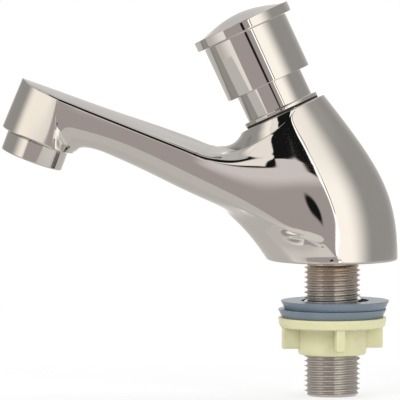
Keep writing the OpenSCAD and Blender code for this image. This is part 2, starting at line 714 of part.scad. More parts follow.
// Outlet ring screwed on the nipple, with its washer, insert and mesh
seam = 0.3;
ring_r = ring_d / 2;
ring_bore_r = ring_r - ring_wall;
nipple_r = ring_bore_r - seat_fit;
outlet_r = nipple_r - nipple_wall;
opening_r = ring_bore_r - ring_lip;
ring_low = -seam - ring_h;
lip_low_h = 0.8;
mesh_h = 0.5;
mesh_low = ring_low + lip_low_h;
insert_flange_h = 1;
insert_low = mesh_low + mesh_h;
washer_low = insert_low + insert_flange_h;
aerator_washer_h = 0.8;
nipple_h = -washer_low - aerator_washer_h;
module aerator_housing() color(chrome) at_nose() difference() {
    tube(ring_low, -seam, ring_r, opening_r);
    tube(mesh_low, 1, ring_bore_r);
}

module aerator_washer() color(black_rubber) at_nose() tube(washer_low, -nipple_h, nipple_r - seat_fit, outlet_r);

insert_wall = 1.2;
insert_room = 0.3;
insert_r = outlet_r - insert_room;
insert_high = 2;
insert_hole_d = 1.8;
insert_rings = 2;
insert_step = (insert_r - insert_wall) / (insert_rings + 0.7);
module aerator_insert() color(white_plastic) at_nose() difference() {
    union() {
        tube(insert_low, washer_low, nipple_r - seat_fit);
        tube(washer_low - eps, insert_high, insert_r);
    }
    tube(insert_low - 1, insert_high - insert_wall, insert_r - insert_wall);
    hole_rings(insert_hole_d, insert_rings, insert_step, insert_high - insert_wall - 1, insert_wall + 2);
}

// A middle hole with rings of six, twelve and more holes round it
module hole_rings(d, rings, step, low, h) for (n = [0 : rings], k = [0 : max(1, 6 * n) - 1])
    rotate([0, 0, 360 * k / max(1, 6 * n)]) translate([n * step, 0, low]) cylinder(d = d, h = h, $fn = 24);

mesh_rings = 3;
mesh_step = opening_r / (mesh_rings + 1);
module aerator_mesh() color(steel) at_nose() difference() {
    tube(mesh_low, insert_low, nipple_r - seat_fit);
    hole_rings(mesh_hole_d, mesh_rings, mesh_step, mesh_low - 1, mesh_h + 2);
}

// Deck washers: loose rings with tapered sides
module deck_washer(high) translate([0, 0, high - washer_h]) difference() {
    cylinder(r1 = washer_d / 2 - washer_taper, r2 = washer_d / 2, h = washer_h);
    translate([0, 0, -1]) cylinder(r = thread_r + washer_room, h = washer_h + 2);
}
lower_high = -deck_gap - washer_h;
nut_high = lower_high - washer_h;
module upper_washer() color(washer_grey) translate([washer_shift, 0, 0]) deck_washer(-deck_gap);
module lower_washer() color(washer_grey) deck_washer(lower_high);

// Back nut: a flange, a hub and four wings
hub_round = 1.6;
nut_flange_taper = 0.6;
wing_count = 4;
nut_bore_r = thread_r + run_fit;
hub_r = nut_bore_r + nut_wall;
hub_low = -nut_flange_h - nut_hub_h;
nut_flange_r = washer_d / 2 + nut_ledge;
wing_tip = nut_flange_r - wing_setback;
module back_nut() color(nut_cream) translate([0, 0, nut_high]) rotate([0, 0, nut_turn]) difference() {
    union() {
        rotate_extrude() polygon([[0, 0], [nut_flange_r, 0],
            [nut_flange_r - nut_flange_taper, -nut_flange_h], [hub_r, -nut_flange_h],
            [hub_r, hub_low + hub_round], [hub_r - hub_round / 2, hub_low], [0, hub_low]]);
        for (k = [0 : wing_count - 1]) rotate([0, 0, 360 * k / wing_count])
            translate([-wing_t / 2, -wing_tip, -nut_flange_h - wing_h]) cube([wing_t, wing_tip, wing_h + eps]);
    }
    tube(hub_low - 1, 1, nut_bore_r);
}

body_casting();
threaded_shank();
shank_gasket();
bonnet();
bonnet_gasket();
guide_bush();
spindle_o_ring();
push_cap();
cap_cover();
cap_screw();
spindle();
return_spring();
timing_piston();
piston_lip_seal();
piston_clip();
metering_pin();
valve_cage();
valve_seat();
seat_gasket();
valve_washer();
valve_cup();
valve_nut();
aerator_housing();
aerator_washer();
aerator_insert();
aerator_mesh();
upper_washer();
lower_washer();
back_nut();
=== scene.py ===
# Push timed basin tap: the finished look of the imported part, in its own frame
import json
import bmesh
import bpy
import numpy as np
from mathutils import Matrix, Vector


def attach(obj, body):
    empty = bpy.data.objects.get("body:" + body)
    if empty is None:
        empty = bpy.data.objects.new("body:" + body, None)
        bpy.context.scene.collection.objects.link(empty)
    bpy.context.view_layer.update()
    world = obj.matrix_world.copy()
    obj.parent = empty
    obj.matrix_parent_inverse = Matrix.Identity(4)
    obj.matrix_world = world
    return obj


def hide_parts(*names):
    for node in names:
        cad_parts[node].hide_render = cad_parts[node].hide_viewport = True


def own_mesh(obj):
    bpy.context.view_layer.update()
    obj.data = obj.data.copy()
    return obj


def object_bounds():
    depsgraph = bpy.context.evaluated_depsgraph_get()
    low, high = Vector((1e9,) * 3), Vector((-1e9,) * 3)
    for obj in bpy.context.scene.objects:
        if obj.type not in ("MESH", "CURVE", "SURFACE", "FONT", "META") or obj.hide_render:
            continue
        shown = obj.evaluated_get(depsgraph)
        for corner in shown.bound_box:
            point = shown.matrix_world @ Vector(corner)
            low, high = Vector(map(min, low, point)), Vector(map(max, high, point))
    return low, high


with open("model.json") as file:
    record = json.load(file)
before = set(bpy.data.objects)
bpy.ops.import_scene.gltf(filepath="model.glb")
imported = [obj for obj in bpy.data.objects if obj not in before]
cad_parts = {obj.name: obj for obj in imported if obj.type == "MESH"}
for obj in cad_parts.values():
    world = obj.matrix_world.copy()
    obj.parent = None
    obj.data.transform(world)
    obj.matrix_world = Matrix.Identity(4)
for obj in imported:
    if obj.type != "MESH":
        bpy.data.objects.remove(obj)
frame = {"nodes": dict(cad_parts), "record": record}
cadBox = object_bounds()
print("frame loaded:", len(frame["nodes"]), "nodes")

mm = 0.001   # all shapes below are worked out in millimetres
side = np.array([0.0, 1.0, 0.0])
up = np.array([0.0, 0.0, 1.0])
right = np.array([1.0, 0.0, 0.0])
mirror = np.array([1.0, -1.0, 1.0])
meshing = dict(weld=2e-6, sliver=1e-7, sharpAngle=35, cornerShare=0.48, cornerSteps=6, columns=160, tiny=1e-9)


# Small helpers: everything works on whole arrays
def lerp(a, b, t):
    return a + (b - a) * t


def ease(t):
    c = np.clip(t, 0, 1)
    return c * c * (3 - 2 * c)


def unit(v):
    return v / np.linalg.norm(v, axis=-1, keepdims=True)


def leaning(degrees):
    # an axis that leans in the plane of symmetry: the direction along it and the one forward of it
    a = np.radians(degrees)
    return np.array([np.sin(a), 0, np.cos(a)]), np.array([-np.cos(a), 0, np.sin(a)])


def cubic(p, t):
    # one cubic curve, or a field of them, at t
    t = np.asarray(t)[..., None]
    return (1 - t) ** 3 * p[0] + 3 * t * (1 - t) ** 2 * p[1] + 3 * t * t * (1 - t) * p[2] + t ** 3 * p[3]


def cubicSlope(p, t):
    t = np.asarray(t)[..., None]
    return unit((1 - t) ** 2 * (p[1] - p[0]) + 2 * t * (1 - t) * (p[2] - p[1]) + t * t * (p[3] - p[2]))


def bezier(p0, p1, p2, p3, t):
    # cubic curves, one for each row of control points, sampled at t
    return cubic([p[:, None] for p in (p0, p1, p2, p3)], t)


def gridQuads(rows, columns, closeRows=False, closeColumns=False, start=0):
    # four corners of each cell of a grid whose points are numbered row by row
    i = np.arange(rows if closeRows else rows - 1)
    j = np.arange(columns if closeColumns else columns - 1)
    i, j = (x.ravel() for x in np.meshgrid(i, j, indexing="ij"))
    i1, j1 = (i + 1) % rows, (j + 1) % columns
    return np.stack([i * columns + j, i1 * columns + j, i1 * columns + j1, i * columns + j1], 1) + start


def addObject(name, data):
    thing = bpy.data.objects.new(name, data)
    bpy.context.scene.collection.objects.link(thing)
    return thing


def makePiece(name, points, quads, look, body, node, slotName, sharpAngle=meshing["sharpAngle"]):
    # points in millimetres and quads become one closed mesh object that stands for a CAD node
    mesh = bpy.data.meshes.new(name)
    mesh.vertices.add(len(points))
    mesh.vertices.foreach_set("co", (points * mm).astype(np.float32).ravel())
    mesh.loops.add(quads.size)
    mesh.loops.foreach_set("vertex_index", quads.astype(np.int32).ravel())
    mesh.polygons.add(len(quads))
    mesh.polygons.foreach_set("loop_start", np.arange(0, quads.size, 4, dtype=np.int32))
    mesh.update(calc_edges=True)
    work = bmesh.new()
    work.from_mesh(mesh)
    bmesh.ops.remove_doubles(work, verts=work.verts, dist=meshing["weld"])
    bmesh.ops.dissolve_degenerate(work, edges=work.edges, dist=meshing["sliver"])
    bmesh.ops.recalc_face_normals(work, faces=work.faces)
    work.to_mesh(mesh)
    openEdges = sum(1 for e in work.edges if not e.is_manifold)
    work.free()
    mesh.shade_smooth()
    mesh.set_sharp_from_angle(angle=np.radians(sharpAngle))
    piece = addObject(name, mesh)
    mesh.materials.append(look)
    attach(piece, body)
    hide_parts(node)
    print(f"{name}: {len(mesh.polygons)} faces, {openEdges} open edges")
    return piece


def rounded(corners, radii, steps):
    # a closed profile whose corners are cut back by their radius and bridged by a quadratic arc
    p = np.array(corners, float)
    r = np.broadcast_to(np.asarray(radii, float), (len(p),))
    toPrev, toNext = np.roll(p, 1, 0) - p, np.roll(p, -1, 0) - p
    lenPrev, lenNext = np.linalg.norm(toPrev, axis=1), np.linalg.norm(toNext, axis=1)
    cut = np.minimum(r, meshing["cornerShare"] * np.minimum(lenPrev, lenNext))[:, None]
    a, b = p + toPrev / lenPrev[:, None] * cut, p + toNext / lenNext[:, None] * cut
    t = np.linspace(0, 1, steps)[None, :, None]
    arcs = (1 - t) ** 2 * a[:, None] + 2 * t * (1 - t) * p[:, None] + t * t * b[:, None]
    return arcs.reshape(-1, 2)


def turnedProfile(corners, hold, steps=meshing["cornerSteps"]):
    # corners as radius, height and rounding; a point close to each end of a run keeps its shading flat
    corners = np.array(corners, float)
    profile = rounded(corners[:, :2], corners[:, 2], steps)
    run = np.roll(profile, -1, 0) - profile
    length = np.linalg.norm(run, axis=1, keepdims=True)
    step = run / np.maximum(length, meshing["tiny"]) * np.minimum(hold, length / 3)
    return np.stack([profile, profile + step, profile + run - step], 1).reshape(-1, 2)


def revolved(profile, centre, axis, front, columns):
    # a profile of radius and height turned about an axis; it closes on itself unless both ends are on the axis
    a = np.linspace(0, 2 * np.pi, columns, endpoint=False)
    around = np.cos(a)[:, None] * front + np.sin(a)[:, None] * side
    points = centre + profile[:, 0, None, None] * around[None] + profile[:, 1, None, None] * axis
    return points.reshape(-1, 3), gridQuads(len(profile), columns, profile[[0, -1], 0].any(), True)


def turned(name, profile, centre, axis, front, look, body, node, slotName):
    makePiece(name, *revolved(profile, centre, axis, front, meshing["columns"]), look, body, node, slotName)


# Looks: procedural materials on object coordinates
def newGroup(name, inputs, outputs):
    group = bpy.data.node_groups.new(name, "ShaderNodeTree")
    for way, sockets in (("INPUT", inputs), ("OUTPUT", outputs)):
        for socketName, kind in sockets.items():
            group.interface.new_socket(socketName, in_out=way, socket_type="NodeSocket" + kind)
    return group, group.nodes.new("NodeGroupInput").outputs, group.nodes.new("NodeGroupOutput").inputs


def addNode(tree, kind, links=None, **values):
    # a node with its settings and socket values, and links given as socket name to output socket
    node = tree.nodes.new("ShaderNode" + kind)
    for key, value in values.items():
        if hasattr(node, key):
            setattr(node, key, value)
        else:
            node.inputs[key.replace("_", " ")].default_value = value
    for key, output in (links or {}).items():
        tree.links.new(output, node.inputs[key])
    return node


def maths(tree, operation, *values):
    # a sum or product of numbers and output sockets
    node = addNode(tree, "Math", operation=operation)
    for socket, value in zip(node.inputs, values):
        if isinstance(value, float):
            socket.default_value = value
        else:
            tree.links.new(value, socket)
    return node.outputs[0]


def noise(tree, place, scale, detail):
    return addNode(tree, "TexNoise", {"Vector": place}, Scale=scale, Detail=detail).outputs[0]


def remap(tree, value, span, **values):
    return addNode(tree, "MapRange", {"Value": value}, From_Min=span[0], From_Max=span[1], **values).outputs[0]


def mixColour(tree, share, first, second):
    return addNode(tree, "Mix", {"Factor": share}, data_type="RGBA", A=first, B=second).outputs["Result"]


polish = dict(filmScale=55.0, filmSpan=(0.45, 0.75), markScale=(260.0, 2600.0, 3400.0),
    markTurn=(0.3, 0.5, 0.2), markSpan=(0.55, 0.8), waveScale=42.0, waveDepth=0.0004)


def polishWearGroup():
    # polished metal: fine rubbing marks, a thin film that dulls the shine in soft patches, and a slow wave
    group, given, result = newGroup("polishWear", dict(Vector="Vector", Shine="Float", Film="Float",
        Marks="Float"), dict(Roughness="Float", Height="Float"))
    place = given["Vector"]
    film = remap(group, noise(group, place, polish["filmScale"], detail=4.0), polish["filmSpan"])
    stretched = addNode(group, "Mapping", {"Vector": place}, Scale=polish["markScale"],
        Rotation=polish["markTurn"])
    marks = remap(group, noise(group, stretched.outputs[0], scale=1.0, detail=2.0), polish["markSpan"])
    filmRough = maths(group, "MULTIPLY", film, given["Film"])
    rough = maths(group, "ADD", filmRough, maths(group, "MULTIPLY", marks, given["Marks"]))
    group.links.new(maths(group, "ADD", rough, given["Shine"]), result["Roughness"])
    group.links.new(noise(group, place, polish["waveScale"], detail=1.0), result["Height"])
    return group


mould = dict(driftScale=70.0, driftSpan=(0.3, 0.7), grainRough=0.16, grainDepth=0.0001)


def mouldGrainGroup():
    # moulded rubber and plastic: fine grain and slow colour drift
    group, given, result = newGroup("mouldGrain", dict(Vector="Vector", Colour="Color", Drift="Float",
        Grain="Float", Shine="Float"), dict(Color="Color", Roughness="Float", Height="Float"))
    place = given["Vector"]
    grain = addNode(group, "TexNoise", {"Vector": place, "Scale": given["Grain"]}, Detail=3.0).outputs[0]
    swing = remap(group, noise(group, place, mould["driftScale"], detail=3.0), mould["driftSpan"], To_Min=-1.0)
    factor = maths(group, "ADD", maths(group, "MULTIPLY", swing, given["Drift"]), 1.0)
    tinted = addNode(group, "VectorMath", {0: given["Colour"]}, operation="SCALE")
    group.links.new(factor, tinted.inputs["Scale"])
    group.links.new(tinted.outputs[0], result["Color"])
    rough = maths(group, "MULTIPLY_ADD", grain, mould["grainRough"], given["Shine"])
    group.links.new(rough, result["Roughness"])
    group.links.new(grain, result["Height"])
    return group


polishWear, mouldGrain = polishWearGroup(), mouldGrainGroup()


def newLook(name):
    look = bpy.data.materials.new(name)
    look.use_nodes = True
    tree = look.node_tree
    return look, tree, tree.nodes["Principled BSDF"], addNode(tree, "TexCoord").outputs["Object"]


def useGroup(tree, group, place, **values):
    return addNode(tree, "Group", {"Vector": place}, node_tree=group, **values).outputs


def addBump(tree, shader, height, strength, distance):
    bump = addNode(tree, "Bump", {"Height": height}, Strength=strength, Distance=distance)
    tree.links.new(bump.outputs[0], shader.inputs["Normal"])


def polishedLook(name, colour, shine, film, marks, wave):
    look, tree, shader, place = newLook(name)
    shader.inputs["Base Color"].default_value = (*colour, 1)
    shader.inputs["Metallic"].default_value = 1
    wear = useGroup(tree, polishWear, place, Shine=shine, Film=film, Marks=marks)
    tree.links.new(wear["Roughness"], shader.inputs["Roughness"])
    addBump(tree, shader, wear["Height"], wave, polish["waveDepth"])
    return look


def mouldedLook(name, colour, drift, grainScale, shine, bump):
    look, tree, shader, place = newLook(name)
    grain = useGroup(tree, mouldGrain, place, Colour=(*colour, 1), Drift=drift, Grain=grainScale, Shine=shine)
    tree.links.new(grain["Color"], shader.inputs["Base Color"])
    tree.links.new(grain["Roughness"], shader.inputs["Roughness"])
    addBump(tree, shader, grain["Height"], bump, mould["grainDepth"])
    return look


# the second colour is brass darkened with painted shade; it takes over towards the deck
shank = dict(patchScale=220.0, patchReach=0.006, brassShadeSpan=(-0.010, 0.004), plate=(0.60, 0.575, 0.55, 1),
    brassAndShade=(0.55, 0.455, 0.375, 1), shine=0.16, film=0.12, marks=0.12)


def shankLook():
    # nickel over brass: the plating is thin near the deck, so a brassy tint shows there, and the colour there
    # is also darkened as painted shade under the deck
    look, tree, shader, place = newLook("nickelThread")
    height = addNode(tree, "SeparateXYZ", {0: place}).outputs["Z"]
    patch = noise(tree, place, shank["patchScale"], detail=3.0)
    # painted shade: the mask brings in the darker brassy colour near the deck
    tint = remap(tree, maths(tree, "MULTIPLY_ADD", patch, shank["patchReach"], height), shank["brassShadeSpan"])
    tree.links.new(mixColour(tree, tint, shank["plate"], shank["brassAndShade"]), shader.inputs["Base Color"])
    shader.inputs["Metallic"].default_value = 1
    wear = useGroup(tree, polishWear, place, Shine=shank["shine"], Film=shank["film"], Marks=shank["marks"])
    tree.links.new(wear["Roughness"], shader.inputs["Roughness"])
    return look


chromeLook = polishedLook("chromePlate", (0.61, 0.595, 0.575), shine=0.03, film=0.03, marks=0.02, wave=0.02)
steelLook = polishedLook("brightSteel", (0.58, 0.58, 0.58), shine=0.2, film=0.1, marks=0.1, wave=0.05)
brassLook = polishedLook("turnedBrass", (0.74, 0.56, 0.27), shine=0.18, film=0.1, marks=0.1, wave=0.05)
nickelLook = shankLook()
blackRubberLook = mouldedLook("blackRubber", (0.018, 0.018, 0.02), drift=0.2, grainScale=1400.0, shine=0.5,
    bump=0.1)
fibreLook = mouldedLook("redFibre", (0.36, 0.09, 0.06), drift=0.25, grainScale=700.0, shine=0.62, bump=0.3)
acetalLook = mouldedLook("whiteAcetal", (0.78, 0.78, 0.74), drift=0.05, grainScale=1100.0, shine=0.3,
    bump=0.06)
washerLook = mouldedLook("greyRubber", (0.16, 0.20, 0.245), drift=0.1, grainScale=900.0, shine=0.28, bump=0.08)
nutLook = mouldedLook("creamNylon", (0.66, 0.64, 0.405), drift=0.06, grainScale=800.0, shine=0.32, bump=0.06)
nutDepth = dict(Weight=0.25, Radius=(1.0, 0.9, 0.4), Scale=0.002)
for key, value in nutDepth.items():
    nutLook.node_tree.nodes["Principled BSDF"].inputs["Subsurface " + key].default_value = value
print("looks ready")

# Casting: ribs make the nose and the spout, and long lines carry them on to the base, the crease and the rim
casting = dict(
    baseR=24.37, baseFlare=33.0, rimR=16.8, rimCentre=(-18.4, 0, 54.0), headLean=-25.0,
    rearTaper=13.4, rearLow=25.9, rearHigh=32.5, creaseBase=108.0, creaseRim=116.5, creaseAt=0.635,
    creaseLowLean=3.2, creaseHighLean=7.5,
    noseCentre=(-108.9, 0, 43.35), noseLean=20.4, noseHeight=19.6, noseCrown=1.3, noseTipLow=14.5,
    noseTipHigh=13.7, noseTipRound=0.8, noseSideTurn=75.0, cheekTurn=10.0, cheekLow=(-7.4, 14.2),
    cheekHigh=(-3.3, 12.9), cheekHold=0.2, rootCrown=4.4, ridgeBendGap=14.4, ridgeBendDrop=3.6, ridgeReach=7.4,
    ridgeShare=0.64, rimReach=6.1, rimSlope=(-0.5, 0, -0.87),
    edgeBendGap=12.4, edgeEndSlope=-0.3, edgeBulge=1.2, edgeRear=7.3, edgeFront=2.6,
    underStart=(12.3, 0, 0.1), underBend=(-16.6, 0, 17.9), hollowShare=0.2, straightShare=0.7,
    outletReach=2.6, hollowReach=7.2, bendReach=7.8, footReach=8.0,
    belly=0.95, panel=0.7, trough=0.45, troughFrom=0.5, keel=0.1, draft=0.11,
    edgeRound=1.0, edgeRoundMost=0.3, edgePull=0.62, creaseRound=0.9, rimRound=0.45, baseRound=0.7,
    outletRound=0.5)

# Number of rows of the casting's grids
rowCount = dict(nose=70, noseRear=34, under=70, rear=46, arcLow=34, creaseLow=30, creaseHigh=22, arcHigh=30,
    edgeTurn=9, creaseTurn=7)

headUp, headFront = leaning(casting["headLean"])
headBack = -headFront
noseUp, noseFront = leaning(casting["noseLean"])
rimCentre, noseCentre = (np.array(casting[k], float) for k in ("rimCentre", "noseCentre"))
baseAngle, rimAngle = (np.radians(casting[key]) for key in ("creaseBase", "creaseRim"))


def baseOut(a):
    return np.stack([-np.cos(a), -np.sin(a), 0 * a], -1)


def basePoint(a):
    return casting["baseR"] * baseOut(a)


def rimOut(a):
    return -np.cos(a)[..., None] * headBack - np.sin(a)[..., None] * side


def rimPoint(a):
    return rimCentre + casting["rimR"] * rimOut(a)


def rearRibs(k):
    # rear wall: one cubic from the base circle to the rim, split where the side edge meets its front rib
    c = casting
    a, ar = (lerp(angle, np.pi, k) for angle in (baseAngle, rimAngle))
    fade = ((1 - k) ** 2)[:, None] * -right
    taper = np.radians(c["rearTaper"])
    wall = np.cos(taper) * headUp - np.sin(taper) * rimOut(ar)
    p0, p3 = basePoint(a), rimPoint(ar)
    p1 = p0 + c["rearLow"] * up + c["creaseLowLean"] * fade
    p2 = p3 - c["rearHigh"] * wall + c["creaseHighLean"] * fade
    t = c["creaseAt"]
    a1, b1, c1 = lerp(p0, p1, t), lerp(p1, p2, t), lerp(p2, p3, t)
    d1, e1 = lerp(a1, b1, t), lerp(b1, c1, t)
    return np.stack([p0, a1, d1, lerp(d1, e1, t), e1, c1, p3], 1)


crease = rearRibs(np.array([0.0]))[0]
edgeEnd = crease[3]
rimFront, baseFront = rimPoint(np.array(0.0)), basePoint(np.array(0.0))
ridgeStart = noseCentre + casting["noseHeight"] * noseUp + casting["noseTipHigh"] * noseFront
ridgeBend = rimFront - np.array([casting["ridgeBendGap"], 0, casting["ridgeBendDrop"]])
cheekTop = noseCentre + casting["cheekHigh"][0] * noseFront - casting["cheekHigh"][1] * side \
    + (casting["noseHeight"] - casting["noseCrown"]) * noseUp
edgeBendX = rimFront[0] - casting["edgeBendGap"]
edgeBendZ = ridgeBend[2] - casting["rootCrown"]
edgeSlope = (edgeBendZ - cheekTop[2]) / (edgeBendX - cheekTop[0])
ridgeCurve = [ridgeBend, ridgeBend + casting["ridgeReach"] * unit(ridgeBend - ridgeStart),
    rimFront + casting["rimReach"] * unit(np.array(casting["rimSlope"])), rimFront]
outRear = noseCentre - casting["noseTipLow"] * noseFront
underStart, underBend = outRear + np.array(casting["underStart"]), baseFront + np.array(casting["underBend"])
underDir = unit(underBend - underStart)
flare = np.radians(casting["baseFlare"])
baseFrontDir = np.array([-np.sin(flare), 0, np.cos(flare)])
edgeXRear, edgeXFront = outRear[0] + casting["edgeRear"], baseFront[0] - casting["edgeFront"]


def edgePoint(x):
    # side edge: straight from the nose, then a cubic that levels out and ends on the crease
    along = (x - cheekTop[0]) / (edgeEnd[0] - cheekTop[0])
    bulge = casting["edgeBulge"] * np.sin(np.pi * np.clip(2 * along - 1, 0, 1)) ** 2
    half = lerp(-cheekTop[1], -edgeEnd[1], along) + bulge
    run = edgeEnd[0] - edgeBendX
    t = np.clip((x - edgeBendX) / run, 0, 1)
    z1, z2 = edgeBendZ + edgeSlope * run / 3, edgeEnd[2] - casting["edgeEndSlope"] * run / 3
    curved = cubic((edgeBendZ, z1, z2, edgeEnd[2]), t)[..., 0]
    z = np.where(x < edgeBendX, cheekTop[2] + edgeSlope * (x - cheekTop[0]), curved)
    return np.stack([x, -half, z], -1)


def ridgePoint(x):
    return lerp(ridgeStart, ridgeBend, ((x - ridgeStart[0]) / (ridgeBend[0] - ridgeStart[0]))[:, None])


def underPoint(k):
    # underside: a small hollow behind the outlet, a straight run, then a bend down to the front of the base
    c = casting
    bend, straight = c["hollowShare"], c["straightShare"]
    behind = [outRear, outRear + c["outletReach"] * noseUp, underStart - c["hollowReach"] * underDir,
        underStart]
    below = [underBend, underBend + c["bendReach"] * underDir, baseFront + c["footReach"] * baseFrontDir,
        baseFront]
    first = cubic(behind, np.clip(k / bend, 0, 1))
    middle = lerp(underStart, underBend, ((k - bend) / (straight - bend))[:, None])
    last = cubic(below, np.clip((k - straight) / (1 - straight), 0, 1))
    return np.where((k < bend)[:, None], first, np.where((k < straight)[:, None], middle, last))


def arch(e, r):
    # inner points of a curve over the top, from the side edge e to the ridge r
    m = np.stack([(e[:, 0] + r[:, 0]) / 2, e[:, 1] / 2, r[:, 2]], -1)
    return lerp(e, m, 2 / 3), lerp(r, m, 2 / 3)


def nosePlan(tip, cheek, k):
    # nose seen along its axis: a round tip, then a nearly straight cheek to where the spout's side begins
    radius, cheek = casting["noseTipRound"] * tip, np.array(cheek)
    turn, cheekTurn = (np.radians(casting[key]) for key in ("noseSideTurn", "cheekTurn"))
    tangent = np.array([tip - radius + radius * np.cos(turn), radius * np.sin(turn)])
    arcPart = radius * turn / (radius * turn + np.linalg.norm(tangent - cheek))
    a = np.clip(k / arcPart, 0, 1) * turn
    onArc = np.stack([tip - radius + radius * np.cos(a), radius * np.sin(a)], -1)
    t = np.clip((k - arcPart) / (1 - arcPart), 0, 1)
    reach = np.linalg.norm(tangent - cheek) / 3
    pull = [tangent, tangent + reach * np.array([-np.sin(turn), np.cos(turn)]),
        cheek + reach * np.array([np.cos(cheekTurn), -np.sin(cheekTurn)]), cheek]
    return np.where((k < arcPart)[:, None], onArc, cubic(pull, t))


def noseRibs(k):
    c = casting
    low, high = nosePlan(c["noseTipLow"], c["cheekLow"], k), nosePlan(c["noseTipHigh"], c["cheekHigh"], k)
    drop = c["noseCrown"] * (high[:, 1] / c["cheekHigh"][1]) ** 2
    p0 = noseCentre + low[:, :1] * noseFront - low[:, 1:] * side
    e = noseCentre + high[:, :1] * noseFront - high[:, 1:] * side + (c["noseHeight"] - drop)[:, None] * noseUp
    r = ridgePoint((noseCentre + high[:, :1] * noseFront + c["noseHeight"] * noseUp)[:, 0])
    q1, q2 = arch(e, r)
    return np.stack([p0, lerp(p0, e, 1 / 3), lerp(p0, e, 2 / 3), e, q1, q2, r], 1)


def noseRearRibs(k):
    # from the cheek round to the middle of the outlet's rear, while the nose turns into the spout's side
    c = casting
    a = np.pi / 2 * k
    f0, s0 = c["cheekLow"]
    ahead = f0 - (c["noseTipLow"] + f0) * np.sin(a)
    p0 = noseCentre + ahead[:, None] * noseFront - (s0 * np.cos(a))[:, None] * side
    x = lerp(cheekTop[0], edgeXRear, k)
    e = edgePoint(x)
    half, h = -e[:, 1:2], np.linalg.norm(e - p0, axis=1)[:, None]
    g = (1 - np.cos(np.pi / 2 * np.clip((k - c["cheekHold"]) / (1 - c["cheekHold"]), 0, 1)))[:, None]
    p1 = p0 + unit(lerp(noseUp, c["keel"] * h / half * noseUp - side, g)) * lerp(h / 3, c["belly"] * half, g)
    p2 = e - (noseUp + c["draft"] * k[:, None] * side) * h * lerp(1 / 3, c["panel"], ease(k))[:, None]
    r = ridgePoint(x)
    q1, q2 = arch(e, r)
    return np.stack([p0, p1, p2, e, q1, q2, r], 1)


def underRibs(k):
    # spout: its underside, side edge and ridge, with a trough beside the ridge near the head
    c = casting
    p0 = underPoint(k)
    e = edgePoint(lerp(edgeXRear, edgeXFront, k))
    half, h = -e[:, 1:2], e[:, 2:] - p0[:, 2:]
    onLine = ridgePoint(lerp(edgeXRear, ridgeBend[0], k / c["ridgeShare"]))
    onCurve = cubic(ridgeCurve, np.clip((k - c["ridgeShare"]) / (1 - c["ridgeShare"]), 0, 1))
    r = np.where((k < c["ridgeShare"])[:, None], onLine, onCurve)
    a0, a1 = arch(e, r)
    g = ease((k - c["troughFrom"]) / (1 - c["troughFrom"]))[:, None]
    dip = c["trough"] * half * side
    p1 = p0 - c["belly"] * half * side + c["keel"] * h * noseUp
    p2 = e - (noseUp + c["draft"] * side) * c["panel"] * h
    return np.stack([p0, p1, p2, e, lerp(a0, e + dip, g), lerp(a1, r - dip, g), r], 1)


tableSteps = np.linspace(0, 1, 41)


def softSteps(first, middle, last, at):
    # a table over 0 to 1 that eases from first to middle and on to last
    t = tableSteps
    return np.where(t < at, lerp(first, middle, ease(t / at)), lerp(middle, last, ease((t - at) / (1 - at))))


# Long lines: reach is the share of a line held straight at the first start, the last start and over the ends
flow = dict(start=0.64, startStep=0.01, lowCorner=0.55, highCorner=0.45,
    lowReach=(0.43, 0.36, softSteps(0.28, 0.34, 0.42, 0.55)),
    highReach=(0.36, 0.5, softSteps(0.42, 0.40, 0.45, 0.45)),
    edgeInturn=0.14, edgeGap=0.03, rearFirst=0.045, rimFlare=55.0, rimTaper=9.5, flareFade=1.5, flareHold=0.62,
    footLean=2.2, footLeanFrom=0.6, swell=3.5, creaseBlend=8, turnFade=1.6, crowd=2.5, steps=72, lastStep=2.2,
    dense=1.7, denseOver=0.15)
startRibs = underRibs(np.array([flow["start"] - flow["startStep"], flow["start"]]))
startRib, startSlope = startRibs[1], startRibs[1] - startRibs[0]
edgeTan = unit(np.array([1.0, flow["edgeInturn"], casting["edgeEndSlope"]]))


def baseTan(a):
    return np.stack([np.sin(a), -np.cos(a), 0 * a], -1)


def rimTan(a):
    return np.sin(a)[..., None] * headBack - np.cos(a)[..., None] * side


def turned45(first, second, share):
    # a direction that turns from first towards second, by 45 degrees at share 1
    a = (np.pi / 4 * share)[..., None]
    return unit(np.cos(a) * first + np.sin(a) * second)


def lowEnds(v):
    # where the side's long lines end: round the base to the foot of the crease, then up the crease to the edge
    f, crowd = flow, flow["crowd"]
    s, q = np.clip(v / f["lowCorner"], 0, 1), np.clip((v - f["lowCorner"]) / (1 - f["lowCorner"]), 0, 1)
    part = 1 - (1 - s) ** crowd
    a = baseAngle * part
    inward = np.radians(f["footLean"]) * ease((part - f["footLeanFrom"]) / (1 - f["footLeanFrom"]))
    lean = (flare * (1 - ease(part / f["flareHold"])) - inward)[..., None]
    stand = np.sin(lean) * baseOut(a) + np.cos(lean) * up
    stand = unit(lerp(stand, unit(crease[1] - crease[0]), (part ** f["creaseBlend"])[..., None]))
    onBase = turned45(-stand, baseTan(a), s ** 2)
    across = unit(lerp(baseTan(np.array(baseAngle)), edgeTan, ease(q)[..., None]))
    onCrease = turned45(across, -cubicSlope(crease[:4], q ** crowd), (1 - q) ** f["turnFade"])
    before = (v < f["lowCorner"])[..., None]
    place = np.where(before, basePoint(a), cubic(crease[:4], q ** crowd))
    return place, np.where(before, onBase, onCrease)


def rimTilt(part):
    # lean of the wall under the rim: wide in front, slight at the crease
    return np.radians(lerp(flow["rimTaper"], flow["rimFlare"], (1 - part) ** flow["flareFade"]))


